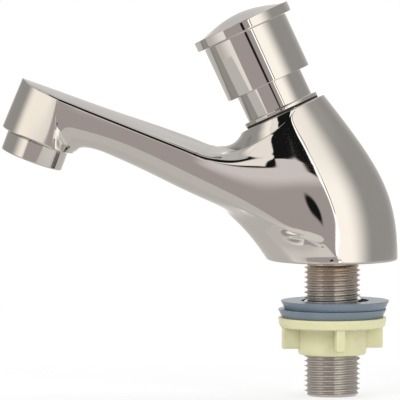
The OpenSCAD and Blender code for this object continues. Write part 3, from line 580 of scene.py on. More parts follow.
def highEnds(v):
    # where the top's long lines end: up the crease from the edge to the rim, then round the rim to its front
    f, crowd = flow, flow["crowd"]
    q, s = np.clip(v / f["highCorner"], 0, 1), np.clip((v - f["highCorner"]) / (1 - f["highCorner"]), 0, 1)
    t, part = 1 - (1 - q) ** crowd, 1 - s ** crowd
    across = unit(lerp(edgeTan, rimTan(np.array(rimAngle)), ease(q)[..., None]))
    onCrease = turned45(across, cubicSlope(crease[3:], t), q ** f["turnFade"])
    a, tilt = rimAngle * part, rimTilt(part)[..., None]
    wall = np.cos(tilt) * headUp - np.sin(tilt) * rimOut(a)
    wall = unit(lerp(wall, unit(crease[6] - crease[5]), (part ** f["creaseBlend"])[..., None]))
    onRim = turned45(wall, rimTan(a), (1 - s) ** 2)
    before = (v < f["highCorner"])[..., None]
    return np.where(before, cubic(crease[3:], t), rimPoint(a)), np.where(before, onCrease, onRim)


def flowLines(u, v, rib, slope, ends, reach, swell=0.0):
    # each line runs on from a rib of the spout and bends into its end on the base, crease or rim
    first, (last, arrival) = cubic(rib, v), ends(v)
    span = np.linalg.norm(last - first, axis=-1, keepdims=True)
    leave = lerp(reach[0], reach[1], v)[..., None]
    arrive = np.interp(v, tableSteps, reach[2])[..., None]
    bend = last - arrive * span * arrival + swell
    return cubic([first, first + leave * span * unit(cubic(slope, v)), bend, last], u)


def baseSwell(v):
    # swells the wall above the base outwards
    s = np.clip(v / flow["lowCorner"], 0, 1)
    a = baseAngle * (1 - (1 - s) ** flow["crowd"])
    return flow["swell"] * np.sin(np.pi * s)[..., None] * baseOut(a)


# Beside the tail pipe the wall stays upright on the base circle; under the rim it stays outside a cone
upright = dict(start=50.0, over=25.0, opensFrom=9.0, opensOver=12.0, opens=12.0, soft=0.35, softOver=3.0,
    creaseFrom=0.85, creaseOver=0.12, sideGap=0.01)
collar = dict(soft=0.3, softOver=3.0, end=0.97, fade=0.12, hollow=0.003, hollowFrom=65.0, hollowOver=20.0,
    deep=25.0, deepFade=8.0)
hardest = 1e-4   # least softness of a fold, mm


def softMin(a, b, soft):
    return (a + b - np.sqrt((a - b) ** 2 + soft ** 2)) / 2


def heldToBase(grid, x):
    # the distance from the pipe's axis is held to the base's radius, softly, up to where the panel opens
    w = upright
    away, z = np.hypot(grid[..., 0], grid[..., 1]), grid[..., 2]
    angle = np.degrees(np.arctan2(-grid[..., 1], -grid[..., 0]))
    limit = casting["baseR"] + w["opens"] * ease((z - w["opensFrom"]) / w["opensOver"])
    soft = w["soft"] * ease(z / w["softOver"]) * (1 - ease((x - w["creaseFrom"]) / w["creaseOver"])) + hardest
    kept = lerp(away, softMin(away, limit, soft), ease((angle - w["start"]) / w["over"]))
    kept = grid * np.stack([kept / away, kept / away, 1 + 0 * away], -1)
    kept[..., 1] = -softMin(-kept[..., 1], casting["baseR"] - w["sideGap"], soft)
    return kept


def heldToRim(grid):
    # the distance from the head's axis keeps above a cone that leans by the rim's tilt, except at the crease
    w = collar
    spoke = grid - rimCentre
    depth = -(spoke @ headUp)
    spoke = spoke + depth[..., None] * headUp
    away = np.linalg.norm(spoke, axis=-1)
    angle = np.arccos(np.clip(spoke @ headFront / away, -1, 1))
    part = angle / rimAngle
    hollow = w["hollow"] * ease((np.degrees(angle) - w["hollowFrom"]) / w["hollowOver"])
    cone = casting["rimR"] + depth * np.tan(rimTilt(np.clip(part, 0, 1))) - hollow * depth ** 2
    soft = w["soft"] * ease(depth / w["softOver"]) + hardest
    share = ease((w["end"] - part) / w["fade"]) * ease((w["deep"] - depth) / w["deepFade"])
    return grid + ((-softMin(-away, -cone, soft) / away - 1) * share)[..., None] * spoke


def splineBasis(samples, count):
    # even cubic B-splines: each column is one bump, each row one sample
    t = np.abs(np.linspace(0, count - 3, samples)[:, None] - np.arange(-1, count - 1)[None, :])
    return np.where(t < 1, (4 - 6 * t ** 2 + 3 * t ** 3) / 6, np.where(t < 2, (2 - t) ** 3 / 6, 0))


# Fairing: bumps along and across a sheet, rows held at its sides, rows over which its borders are restored
fair = dict(sheet=(72, 14), lowHold=(1, 2), lowReach=(8, 12, 24, 6), highHold=(2, 3), highReach=(8, 12, 6, 16),
    bend=60.0, twist=0.1, loose=6e-3, basePull=30.0, keepFrom=0.55, keepOver=0.2)


def faired(grid, hold, reach, pull):
    # a B-spline sheet that keeps a grid's borders and bends like a thin plate between them
    (nu, nv), controls = grid.shape[:2], fair["sheet"]
    bu, bv = splineBasis(nu, controls[0]), splineBasis(nv, controls[1])
    heldU, heldV = np.zeros(nu), np.zeros(nv)
    heldU[[0, -1]] = 1
    heldV[:hold[0]], heldV[-hold[1]:] = 1, 1
    system, target = 0, 0
    evenV = np.ones(nv)
    for weightU, weightV in ((fair["loose"] * pull, evenV), (heldU, evenV), (np.ones(nu), heldV)):
        wu, wv = bu * weightU[:, None], bv * weightV[:, None]
        system = system + np.kron(bu.T @ wu, bv.T @ wv)
        target = target + np.einsum("ui,uvc,vj->ijc", wu, grid, wv, optimize=True)
    slopeU, slopeV = (np.diff(np.eye(n), 1, axis=0) for n in controls)
    bendU, bendV = (np.diff(np.eye(n), 2, axis=0) for n in controls)
    plate = fair["bend"] * np.kron(bendU.T @ bendU, np.eye(controls[1])) \
        + fair["twist"] * np.kron(np.eye(controls[0]), bendV.T @ bendV) \
        + 2 * fair["twist"] * np.kron(slopeU.T @ slopeU, slopeV.T @ slopeV)
    sheet = np.linalg.solve(system + plate, target.reshape(-1, 3)).reshape(*controls, 3)
    fit = np.einsum("ui,vj,ijc->uvc", bu, bv, sheet, optimize=True)
    firstU, lastU, firstV, lastV = (1 - ease(np.arange(n) / r) for n, r in zip((nu, nu, nv, nv), reach))
    fit = fit + (grid[:, :1] - fit[:, :1]) * firstV[None, :, None] \
        + (grid[:, -1:] - fit[:, -1:]) * lastV[None, ::-1, None]
    return fit + (grid[:1] - fit[:1]) * firstU[:, None, None] \
        + (grid[-1:] - fit[-1:]) * lastU[::-1, None, None]


def cornerTurn(a, corner, b):
    # rows that round the side edge between the side and the top
    pull = casting["edgePull"]
    t = np.linspace(0, 1, rowCount["edgeTurn"])[1:-1]
    return bezier(a, lerp(a, corner, pull), lerp(b, corner, pull), b, t)


def edgeCuts(c):
    # shares of a rib's side and top curves at which the rounding of the side edge begins and ends
    arms = np.stack([c[..., 3, :] - c[..., 2, :], c[..., 4, :] - c[..., 3, :]])
    length = np.maximum(np.linalg.norm(arms, axis=-1), meshing["tiny"])
    low, high = np.minimum(casting["edgeRoundMost"], casting["edgeRound"] / 3 / length)
    return 1 - low, high


def ribRows(c, lowShare, highShare):
    # rows of a rib: side curve, a rounded corner of fixed reach over the edge, then the top curve
    lowCut, highCut = edgeCuts(c)
    low, high = (part.transpose(1, 0, 2) for part in (c[:, :4], c[:, 3:]))
    highAt = lerp(highCut[:, None], 1.0, highShare)
    return bezier(*low, lowCut[:, None] * lowShare), c[:, 3], bezier(*high, highAt)


def flowRows(lowShare, highShare, endCuts):
    # the same rows carried on along the long lines; the last row of each ends on the crease
    n = flow["steps"]
    x = np.append(np.linspace(0, 1 - flow["lastStep"] / n, n), 1.0)[:, None]
    dense = 1 - (1 - x) ** flow["dense"]
    lowCut, highCut = (lerp(a, b, x) for a, b in zip(edgeCuts(startRib), endCuts))
    lowV, highV = lowCut * lowShare, lerp(highCut, 1.0, highShare)
    lowU = lerp(x, dense, ease((flow["lowCorner"] - lowV) / flow["denseOver"]))
    highU = lerp(x, dense, ease((highV - flow["highCorner"]) / flow["denseOver"]))
    sideLine = startRib[:4], startSlope[:4], lowEnds, flow["lowReach"]
    low = flowLines(lowU, lowV, *sideLine, baseSwell(lowV))
    high = flowLines(highU, highV, startRib[3:], startSlope[3:], highEnds, flow["highReach"])
    edge = flowLines(x, 0 * x + 1, *sideLine, baseSwell(0 * x + 1))[:, 0]
    return heldToBase(low, x), edge, heldToRim(high)


def roundEdge(points, plane, axis, reach):
    # pulls points close to a flat face in towards its axis, along a quarter circle, so that its edge is round
    spoke = points - plane
    height = spoke @ axis
    within = np.clip(reach - np.abs(height), 0, reach)
    pull = (reach - np.sqrt(np.maximum(reach ** 2 - within ** 2, 0)))[..., None]
    spoke = spoke - height[..., None] * axis
    away = np.linalg.norm(spoke, axis=-1, keepdims=True)
    return points - pull * spoke / np.maximum(away, meshing["tiny"])


def rowPlaces():
    # places of the rows on the side's and the top's curves; those on the crease are shared with the rear wall
    low, high, gap = flow["lowCorner"], flow["highCorner"], flow["edgeGap"]
    onLowCrease = np.linspace(low, 1 - (1 - low) * gap, rowCount["creaseLow"] + 1)
    onHighCrease = np.linspace(high * gap, high, rowCount["creaseHigh"] + 1)
    return np.concatenate([np.linspace(0, low, rowCount["arcLow"]), onLowCrease[1:]]), \
        np.concatenate([onHighCrease[:-1], np.linspace(high, 1, rowCount["arcHigh"])])


def frontGrid(lowV, highV):
    # nose, spout and the long lines up to the crease, from the underside's middle to the ridge
    nose, noseRear, under = (np.arange(rowCount[key]) / rowCount[key] for key in ("nose", "noseRear", "under"))
    ribs = np.concatenate([noseRibs(nose), noseRearRibs(noseRear), underRibs(flow["start"] * under)])
    lowShare, highShare = lowV / lowV[-1], (highV - highV[0]) / (1 - highV[0])
    spout, swept = ribRows(ribs, lowShare, highShare), flowRows(lowShare, highShare, (lowV[-1], highV[0]))
    low, edge, high = (np.concatenate(pair) for pair in zip(spout, swept))
    n = len(low) - rowCount["nose"]
    keep = ease((np.arange(n) / (n - 1) - fair["keepFrom"]) / fair["keepOver"])
    for grid, key in ((low[rowCount["nose"]:], "low"), (high[rowCount["nose"]:], "high")):
        smooth = faired(grid, fair[key + "Hold"], fair[key + "Reach"], 1 + fair["basePull"] * keep)
        grid[:] = lerp(smooth, grid, keep[:, None, None])
    return np.concatenate([low, cornerTurn(low[:, -1], edge, high[:, 0]), high], 1)


def rearGrid(lowV, highV):
    # rear wall, on the rows that the front grid has on the crease
    f, ribs = flow, rearRibs(np.append(0.0, np.linspace(flow["rearFirst"], 1, rowCount["rear"])))
    lowAt = ((lowV[rowCount["arcLow"] - 1:] - f["lowCorner"]) / (1 - f["lowCorner"])).clip(0) ** f["crowd"]
    highAt = 1 - (1 - highV[:rowCount["creaseHigh"] + 1] / f["highCorner"]).clip(0) ** f["crowd"]
    low, high = (bezier(*part.transpose(1, 0, 2), np.broadcast_to(at, (len(ribs), len(at))))
        for part, at in ((ribs[:, :4], lowAt), (ribs[:, 3:], highAt)))
    return np.concatenate([low, cornerTurn(low[:, -1], ribs[:, 3], high[:, 0]), high], 1)


def roundCrease(front, rear, onCrease):
    # the crease becomes a narrow round strip, which is added to the rear wall's grid
    fold = rear[0]
    along = unit(np.gradient(fold, axis=0))

    def offFold(points):
        step = points - fold
        near = fold + unit(step - (step * along).sum(-1, keepdims=True) * along) * casting["creaseRound"]
        near[0, 2] = 0
        near[-1] = near[-1] - ((near[-1] - rimCentre) @ headUp) * headUp
        return near

    before, after = offFold(front[-2, onCrease]), offFold(rear[1])
    t = np.linspace(0, 1, rowCount["creaseTurn"])[:, None, None]
    front[-1, onCrease] = before
    return np.concatenate([(1 - t) ** 2 * before + 2 * t * (1 - t) * fold + t * t * after, rear[1:]])


# Bores of the casting, as radius and height along each axis, from the flat face inwards
pockets = dict(base=[(20, 0), (10.53, 0), (10.53, 8.0), (0, 8.0)],
    head=[(12.0, 0), (12.0, -10.5), (11.0, -10.5), (11.0, -32), (8, -32), (8, -46.05), (6.5, -47.3),
        (0, -47.3)],
    nose=[(10.8, 0), (10.8, -4.2), (8.0, -4.2), (8.0, 13.0), (0, 13.0)])


def pocketRings(ring, centre, axis, ahead, profile):
    # a flat face inside a half ring of skin points and its mirror image, then a bore that closes at its end
    loop = np.concatenate([ring, (ring * mirror)[-2:0:-1]])
    spoke = loop - centre
    angle = np.arctan2(spoke @ side, spoke @ ahead)
    around = np.cos(angle)[:, None] * ahead + np.sin(angle)[:, None] * side
    return np.stack([loop] + [centre + r * around + h * axis for r, h in profile])


def buildCasting():
    lowV, highV = rowPlaces()
    front, rear = frontGrid(lowV, highV), rearGrid(lowV, highV)
    onCrease = slice(rowCount["arcLow"] - 1, rowCount["arcLow"] - 1 + rear.shape[1])
    rear = roundCrease(front, rear, onCrease)
    outletEnd, deck = rowCount["nose"] + rowCount["noseRear"], np.zeros(3)
    for middle in (front[outletEnd:, 0], front[:, -1], front[0], rear[-1]):
        middle[:, 1] = 0
    for grid in (front[outletEnd + rowCount["under"]:], rear):
        grid[:] = roundEdge(grid, deck, up, casting["baseRound"])
        grid[:] = roundEdge(grid, rimCentre, headUp, casting["rimRound"])
    front[:outletEnd + 1] = roundEdge(front[:outletEnd + 1], noseCentre, noseUp, casting["outletRound"])
    baseRing = np.concatenate([front[-1, :rowCount["arcLow"]], rear[1:, 0]])
    rimRing = np.concatenate([front[-1, onCrease.stop - 1:][::-1], rear[1:, -1]])
    skins = [front, rear, front * mirror, rear * mirror]
    bores = [pocketRings(baseRing, deck, up, -right, pockets["base"]),
        pocketRings(rimRing, rimCentre, headUp, headFront, pockets["head"]),
        pocketRings(front[:outletEnd + 1, 0], noseCentre, noseUp, noseFront, pockets["nose"])]
    quads, total = [], 0
    for grid, closed in [(skin, False) for skin in skins] + [(bore, True) for bore in bores]:
        quads.append(gridQuads(*grid.shape[:2], False, closed, start=total))
        total += grid.shape[0] * grid.shape[1]
    return np.concatenate([grid.reshape(-1, 3) for grid in skins + bores]), np.concatenate(quads)


makePiece("tapCasting", *buildCasting(), chromeLook, "tap", "body_casting", "chrome")

# Button and bonnet: turned pieces on the leaning axis, heights from the rim
button = dict(neckR=12.85, neckBore=10.65, neckHigh=20.5, collarR=14.7, collarLow=0.7, collarHigh=2.2,
    tailR=11.95, tailLow=-10.0, cageR=9.95, bushR=5.45, floorHigh=4.0,
    skirtR=16.5, skirtBore=13.3, skirtLow=12.0, flangeR=19.0, flangeLow=33.0, flangeHigh=36.8, webLow=30.0,
    bossR=6.6, bossLow=24.0, spindleR=4.05, spindleHigh=31.05, screwHole=2.4, recessLow=33.4,
    coverR=18.4, coverGap=0.05, coverLow=35.6, coverLedge=2.4, coverWall=1.0,
    domeHigh=3.6, domeSwell=1.2, domeDrop=0.9, domeSteps=40, hollowR=4.2, bonnetHold=0.12, capHold=0.15)


def bonnetProfile():
    b = button
    return turnedProfile([(b["bushR"], 0, .1), (b["cageR"], 0, .1), (b["cageR"], b["tailLow"], .2),
        (b["tailR"], b["tailLow"], .3), (b["tailR"], b["collarLow"], .1), (b["collarR"], b["collarLow"], .25),
        (b["collarR"], b["collarHigh"], .55), (b["neckR"], b["collarHigh"], .12),
        (b["neckR"], b["neckHigh"], .4), (b["neckBore"], b["neckHigh"], .3),
        (b["neckBore"], b["floorHigh"], .2), (b["bushR"], b["floorHigh"], .2)], b["bonnetHold"])


def capProfile():
    b = button
    seat, ledge = b["coverR"] + b["coverGap"], b["coverR"] - b["coverLedge"]
    return turnedProfile([(b["spindleR"], b["bossLow"], .2), (b["bossR"], b["bossLow"], .4),
        (b["bossR"], b["webLow"], .2), (b["skirtBore"], b["webLow"], .2), (b["skirtBore"], b["skirtLow"], .3),
        (b["skirtR"], b["skirtLow"], .35), (b["skirtR"], b["flangeLow"], .25),
        (b["flangeR"], b["flangeLow"], .5), (b["flangeR"], b["flangeHigh"], .5),
        (seat, b["flangeHigh"], .12), (seat, b["coverLow"], .1),
        (ledge, b["coverLow"], .1), (ledge, b["recessLow"], .1), (b["screwHole"], b["recessLow"], .2),
        (b["screwHole"], b["spindleHigh"], .1), (b["spindleR"], b["spindleHigh"], .1)], b["capHold"])


def coverProfile():
    # shallow cone at the edge that rounds into a dome, with a hollow underside
    b = button
    t = np.linspace(0, 1, b["domeSteps"])
    height = b["domeHigh"] * (1 - t) * (1 + b["domeSwell"] * t - b["domeDrop"] * t * t)
    hollowHigh = b["flangeHigh"] + (b["domeHigh"] - b["coverWall"]) / 2
    under = [(b["coverR"], b["coverLow"]), (b["coverR"] - b["coverLedge"], b["coverLow"]),
        (b["hollowR"], hollowHigh), (0, hollowHigh)]
    return np.concatenate([np.stack([b["coverR"] * t, b["flangeHigh"] + height], 1), np.array(under)])


onHead = rimCentre, headUp, headFront, chromeLook
turned("tapBonnet", bonnetProfile(), *onHead, "tap", "bonnet", "chrome")
turned("buttonCap", capProfile(), *onHead, "push_button", "push_cap", "chrome")
turned("buttonCover", coverProfile(), *onHead, "push_button", "cap_cover", "chrome")

# Outlet ring under the nose
outlet = dict(ringR=12.0, ringBore=10.85, openingR=9.6, ringHigh=-0.3, ringLow=-7.6, lipHigh=-6.8, hold=0.12)


def outletProfile():
    o = outlet
    return turnedProfile([(o["openingR"], o["ringLow"], .25), (o["ringR"], o["ringLow"], .45),
        (o["ringR"], o["ringHigh"], .3), (o["ringBore"], o["ringHigh"], .2), (o["ringBore"], o["lipHigh"], .1),
        (o["openingR"], o["lipHigh"], .1)], o["hold"])


turned("outletRing", outletProfile(), noseCentre, noseUp, noseFront, chromeLook, "tap", "aerator_housing",
    "chrome")

# Tail pipe: a true right-hand thread; flats and rounding are shares of the ridge, run-out is in pitches
tailPipe = dict(crestR=10.4775, depth=1.16, pitch=1.814, low=-50.0, band=1.4, bore=7.0, topBore=6.0,
    socketHigh=7.0, rootFlat=0.1, flank=0.8, soft=0.6, runOut=0.5, bevelDepth=1.15, bevelSlope=1.1, mouth=0.4,
    rowsPerTurn=16, columns=120, sharpAngle=60)


def buildTailPipe():
    # the radius follows the thread's form along height less turn; it runs out at the top and is bevelled below
    t = tailPipe
    z = np.linspace(0, t["low"], int(t["rowsPerTurn"] * -t["low"] / t["pitch"]))[:, None]
    a = np.linspace(0, 2 * np.pi, t["columns"], endpoint=False)[None, :]
    phase = (z / t["pitch"] - a / (2 * np.pi)) % 1.0
    ridge = np.clip((np.abs(phase - 0.5) * 2 - t["rootFlat"]) / t["flank"], 0, 1)
    ridge = lerp(ridge, ease(ridge), t["soft"]) * np.clip((-t["band"] - z) / (t["runOut"] * t["pitch"]), 0, 1)
    bevel = t["crestR"] - t["depth"] * t["bevelDepth"] + (z - t["low"]) * t["bevelSlope"]
    r = np.minimum(t["crestR"] - t["depth"] * (1 - ridge), bevel)
    rest = np.array([(t["crestR"], 0), (t["crestR"], t["socketHigh"]), (t["topBore"], t["socketHigh"]),
        (t["topBore"], 0), (t["bore"], 0), (t["bore"], t["low"] + t["mouth"]),
        (t["bore"] + t["mouth"], t["low"])])
    r = np.concatenate([rest[1::-1, :1] + 0 * a, r, rest[:1:-1, :1] + 0 * a])
    z = np.concatenate([rest[1::-1, 1:], z, rest[:1:-1, 1:]]) + 0 * a
    points = np.stack([r * np.cos(a), r * np.sin(a), z], -1)
    return points.reshape(-1, 3), gridQuads(len(points), t["columns"], True, True)


makePiece("tailPipe", *buildTailPipe(), nickelLook, "tap", "threaded_shank", "nickel", tailPipe["sharpAngle"])

# Deck washers and back nut
deckFixing = dict(washerR=20.0, washerTaper=1.5, washerBore=12.4775, washerThick=3.1, washerHold=0.2,
    upperHigh=-14.9, upperShift=1.0,
    nutHigh=-21.1, nutFlange=20.0, nutFlangeTaper=0.6, nutFlangeThick=3.5, hubR=12.5275,
    nutBore=10.5275, hubLow=-13.7, nutHold=0.25, nutSteps=8, nutColumns=144, nutTurn=16.0,
    wings=4, wingTip=18.7, wingThick=3.2, wingHeight=8.0, wingRound=0.55, wingSunk=1.0, wingInset=0.6)


def washerProfile(high):
    d = deckFixing
    low = high - d["washerThick"]
    return turnedProfile([(d["washerBore"], low, .3), (d["washerR"] - d["washerTaper"], low, .35),
        (d["washerR"], high, .3), (d["washerBore"], high, .3)], d["washerHold"])


upperHigh = deckFixing["upperHigh"]
for name, node, high, shift in (("upperWasher", "upper_washer", upperHigh, deckFixing["upperShift"]),
        ("lowerWasher", "lower_washer", upperHigh - deckFixing["washerThick"], 0.0)):
    turned(name, washerProfile(high), shift * right, up, right, washerLook, "deck_washers", node,
        "washer_grey")


def roundedBar(size, radius, steps=5):
    # a bar with round edges: loops of a rounded rectangle, drawn in at both ends along a quarter circle
    half = np.array(size) / 2
    loop = rounded(np.array([(-1, -1), (1, -1), (1, 1), (-1, 1)]) * half[:2], radius, steps + 1)
    a = np.linspace(0, np.pi / 2, steps)
    inset, rise = radius * (1 - np.sin(a)), radius * (1 - np.cos(a))
    middle = np.linspace(radius - half[2], half[2] - radius, steps + 1)[1:-1]
    inset = np.concatenate([inset, 0 * middle, inset[::-1]])
    height = np.concatenate([rise - half[2], middle, half[2] - rise[::-1]])
    grid = np.zeros((len(height) + 2, len(loop), 3))
    grid[1:-1, :, :2] = loop * (1 - inset[:, None] / half[:2])[:, None]
    grid[..., 2] = np.concatenate([[-half[2]], height, [half[2]]])[:, None]
    return grid.reshape(-1, 3), gridQuads(len(grid), len(loop), False, True)


def buildNut():
    # a flanged hub, and wings below the flange that are sunk into it
    d = deckFixing
    flangeLow = -d["nutFlangeThick"]
    body = turnedProfile([(d["nutBore"], 0, .4), (d["nutFlange"], 0, .45),
        (d["nutFlange"] - d["nutFlangeTaper"], flangeLow, .7), (d["hubR"], flangeLow, .8),
        (d["hubR"], d["hubLow"], 1.7), (d["nutBore"], d["hubLow"], .4)], d["nutHold"], d["nutSteps"])
    points, quads = revolved(body, d["nutHigh"] * up, up, right, d["nutColumns"])
    length, depth = d["wingTip"] - d["nutBore"] - d["wingInset"], d["wingHeight"] + d["wingSunk"]
    bar, barQuads = roundedBar((d["wingThick"], length, depth), d["wingRound"])
    bar = bar + np.array([0, length / 2 - d["wingTip"], d["nutHigh"] + flangeLow + d["wingSunk"] - depth / 2])
    for k in range(d["wings"]):
        a = np.radians(d["nutTurn"] + 360 * k / d["wings"])
        spin = np.array([[np.cos(a), -np.sin(a), 0], [np.sin(a), np.cos(a), 0], [0, 0, 1]])
        quads = np.concatenate([quads, barQuads + len(points)])
        points = np.concatenate([points, bar @ spin.T])
    return points, quads


makePiece("backNut", *buildNut(), nutLook, "wing_nut", "back_nut", "nut_cream")

# Return spring: a wire wound to even pitch with closed turns at both ends
spring = dict(low=4.81, high=29.19, ringR=8.8, wireR=0.79, turns=7, closedTurns=1.0, closedPitch=1.62,
    stroke=8.0, stepsPerTurn=40, wireSides=16)


def buildSpring():
    # height along the wire: slow over the closed turns, even between them
    s = spring
    t = np.linspace(0, s["turns"], s["turns"] * s["stepsPerTurn"] + 1)
    closed = s["closedTurns"] * s["closedPitch"]
    h = np.interp(t, [0, s["closedTurns"], s["turns"] - s["closedTurns"], s["turns"]],
        [s["low"], s["low"] + closed, s["high"] - closed, s["high"]])[:, None]
    a, b = 2 * np.pi * t[:, None], np.linspace(0, 2 * np.pi, s["wireSides"], endpoint=False)[None, :]
    w = np.full((len(t), 1), s["wireR"])
    w[[0, -1]] = 0
    r = (s["ringR"] + w * np.cos(b))[..., None]
    around = np.cos(a)[..., None] * headFront + np.sin(a)[..., None] * side
    grid = rimCentre + r * around + (h + w * np.sin(b))[..., None] * headUp
    return grid.reshape(-1, 3), gridQuads(len(t), s["wireSides"], False, True)


springPiece = makePiece("returnSpring", *buildSpring(), steelLook, "tap", "return_spring", "steel")
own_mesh(springPiece)

# The hidden pieces keep their CAD solids and take a look of their own
slotLooks = dict(chrome=chromeLook, nickel=nickelLook, steel=steelLook, brass=brassLook,
    black_rubber=blackRubberLook, fibre=fibreLook, white_plastic=acetalLook, washer_grey=washerLook,
    nut_cream=nutLook)
for part in frame["record"]["subparts"]:
    mesh = frame["nodes"][part["node"]].data
    mesh.materials.clear()
    mesh.materials.append(slotLooks[part["material_slot"]])
print("CAD nodes dressed")

# Studio: a pale floor, soft lamps, and a light tent and table top that only the metal sees
studio = dict(floorDrop=0.0002, floorHalf=9.0, floorColour=(0.9, 0.9, 0.9, 1), floorRough=0.9, shadowShare=0.3,
    shadowSpan=(0.08, 0.4), tentRadius=0.55, tentCentre=(-0.04, 0, 0.03), tentStep=0.5,
    wall=(0.44, 0.425, 0.405), worldLight=0.5, lampAim=(-0.03, 0, 0.02))
table = dict(x=(-0.20, 0.012), y=(-0.15, -0.028), z=-0.0005, dimSpan=(-0.07, -0.01),
    dim=(0.76, 0.725, 0.69, 1), bright=(0.96, 0.915, 0.875, 1))
lamps = [
    dict(name="keyLamp", place=(-0.9, -1.1, 0.9), size=0.9, power=13.0),
    dict(name="fillLamp", place=(1.1, -0.9, 0.6), size=0.9, power=9.0),
    dict(name="topLamp", place=(0.1, 0.5, 1.5), size=1.0, power=10.0),
]
blackCloth = (0.012, 0.012, 0.012)
# Panels: turn and rise in degrees seen from the tap, soft borders left, right, below and above, slope, colour
tentPanels = dict(
    table=dict(turn=(-200, 200), rise=(-95, -8), soft=(1, 1, 1, 8), colour=(0.72, 0.685, 0.65)),
    ceiling=dict(turn=(-200, 200), rise=(44, 95), soft=(1, 1, 18, 1), colour=(0.72, 0.70, 0.675)),
    rearHaze=dict(turn=(150, 210), rise=(-40, 60), soft=(52, 52, 10, 20), colour=(0.80, 0.775, 0.755)),
    backdrop=dict(turn=(160, 200), rise=(-25, 15), soft=(20, 20, 14, 12), colour=(1.5, 1.49, 1.46)),
    leftTable=dict(turn=(-62, -27), rise=(-20, -3), soft=(44, 1.5, 16, 4), colour=(1.2, 1.14, 1.08)),
    leftBox=dict(turn=(-62, -34), rise=(4, 38), soft=(36, 14, 4, 24), colour=(1.42, 1.33, 1.20)),
    rightBox=dict(turn=(20, 61), rise=(-10, 46), soft=(1.2, 40, 6, 50), colour=(1.58, 1.50, 1.38)),
    hood=dict(turn=(-33, 25), rise=(10, 70), soft=(1.2, 1.2, 1.5, 6), colour=blackCloth),
    flag=dict(turn=(-36, -17), rise=(-60, 37.0), soft=(8, 1, 1, 1.2), slope=-0.667,
        colour=(1.25, 1.18, 1.10)),
    band=dict(turn=(-33, -8), rise=(8, 18.2), soft=(1, 1, 1, 1.2), colour=blackCloth),
    lensCard=dict(turn=(-34.5, 20.5), rise=(-45, 9.8), soft=(1, 1, 4, 1.2), slope=0.36,
        colour=(0.53, 0.467, 0.455)),
    cardTop=dict(turn=(-28.5, 25), rise=(5.2, 11.94), soft=(1, 1, 6, 1.2), slope=0.36,
        colour=(0.95, 0.87, 0.85)),
    hoodRight=dict(turn=(6, 20.5), rise=(24.4, 60), soft=(3, 1, 1.2, 6), colour=blackCloth),
    glint=dict(turn=(20.5, 23.2), rise=(-15, 40), soft=(0.8, 1.2, 6, 6), colour=(2.1, 2.05, 2.0)),
    lens=dict(centre=(6.6, 8.2), radii=(3.0, 5.0), lean=33.0, soft=0.5, colour=blackCloth))


def panelMask(x, span, soft):
    # 1 inside the span, one half on its borders
    return ease((x - span[0]) / soft[0] + 0.5) * ease((span[1] - x) / soft[1] + 0.5)


def ovalMask(turn, rise, p):
    a = np.radians(p["lean"])
    x, y = turn - p["centre"][0], rise - p["centre"][1]
    across, along = x * np.cos(a) + y * np.sin(a), y * np.cos(a) - x * np.sin(a)
    return ease((1 - np.hypot(across / p["radii"][0], along / p["radii"][1])) / p["soft"] + 0.5)


def tentColour(turn, rise):
    # each panel is a patch of cloth with soft borders, laid over those before it
    colour = np.ones(turn.shape + (4,)) * np.array([*studio["wall"], 1])
    for p in tentPanels.values():
        if "centre" in p:
            mask = ovalMask(turn, rise, p)
        else:
            inTurn = np.maximum.reduce([panelMask(turn + s, p["turn"], p["soft"][:2]) for s in (-360, 0, 360)])
            level = rise - p.get("slope", 0.0) * (turn - p["turn"][0])
            mask = inTurn * panelMask(level, p["rise"], p["soft"][2:])
        colour[..., :3] = lerp(colour[..., :3], np.array(p["colour"]), mask[..., None])
    return colour


def glowLook(name, colourFrom):
    # a material that only glows, in the colour that colourFrom makes in its node tree
    look, tree, shader, place = newLook(name)
    look.cycles.emission_sampling = "NONE"
    tree.nodes.remove(shader)
    glow = addNode(tree, "Emission", {"Color": colourFrom(tree, place)}, Strength=1.0)
    tree.links.new(glow.outputs[0], tree.nodes["Material Output"].inputs["Surface"])
    return look


def metalOnly(thing):
    for ray in ("camera", "diffuse", "transmission", "volume_scatter", "shadow"):
        setattr(thing, "visible_" + ray, False)


def clothColour(tree, place):
    return addNode(tree, "Attribute", attribute_name="cloth").outputs["Color"]


def buildTent():
    # a sphere of cloth round the tap
    step = studio["tentStep"]
    turn, rise = np.meshgrid(np.arange(-180, 180, step), np.arange(-90, 90 + step / 2, step), indexing="ij")
    a, e = np.radians(turn), np.radians(rise)
    points = np.stack([np.sin(a) * np.cos(e), -np.cos(a) * np.cos(e), np.sin(e)], -1) * studio["tentRadius"]
    points = points + np.array(studio["tentCentre"])
    mesh = bpy.data.meshes.new("lightTent")
    mesh.from_pydata(points.reshape(-1, 3).tolist(), [], gridQuads(*turn.shape, True, False).tolist())
    layer = mesh.color_attributes.new("cloth", "FLOAT_COLOR", "POINT")
    layer.data.foreach_set("color", tentColour(turn, rise).astype(np.float32).ravel())
    mesh.materials.append(glowLook("tentCloth", clothColour))
    tent = addObject("lightTent", mesh)
    metalOnly(tent)


def addSheet(name, x, y, z, look):
    mesh = bpy.data.meshes.new(name)
    mesh.from_pydata([(x[0], y[0], z), (x[1], y[0], z), (x[1], y[1], z), (x[0], y[1], z)], [], [(0, 1, 2, 3)])
    mesh.materials.append(look)
    return addObject(name, mesh)


def tableColour(tree, place):
    along = addNode(tree, "SeparateXYZ", {"Vector": place}).outputs["X"]
    share = remap(tree, along, table["dimSpan"], interpolation_type="SMOOTHSTEP", To_Min=0.0, To_Max=1.0)
    return mixColour(tree, share, table["dim"], table["bright"])


def buildTable():
    # pale table top in front of the tap; it ends where the grey card stands, and dims to the left
    top = addSheet("tableTop", table["x"], table["y"], table["z"], glowLook("tableGlow", tableColour))
    metalOnly(top)


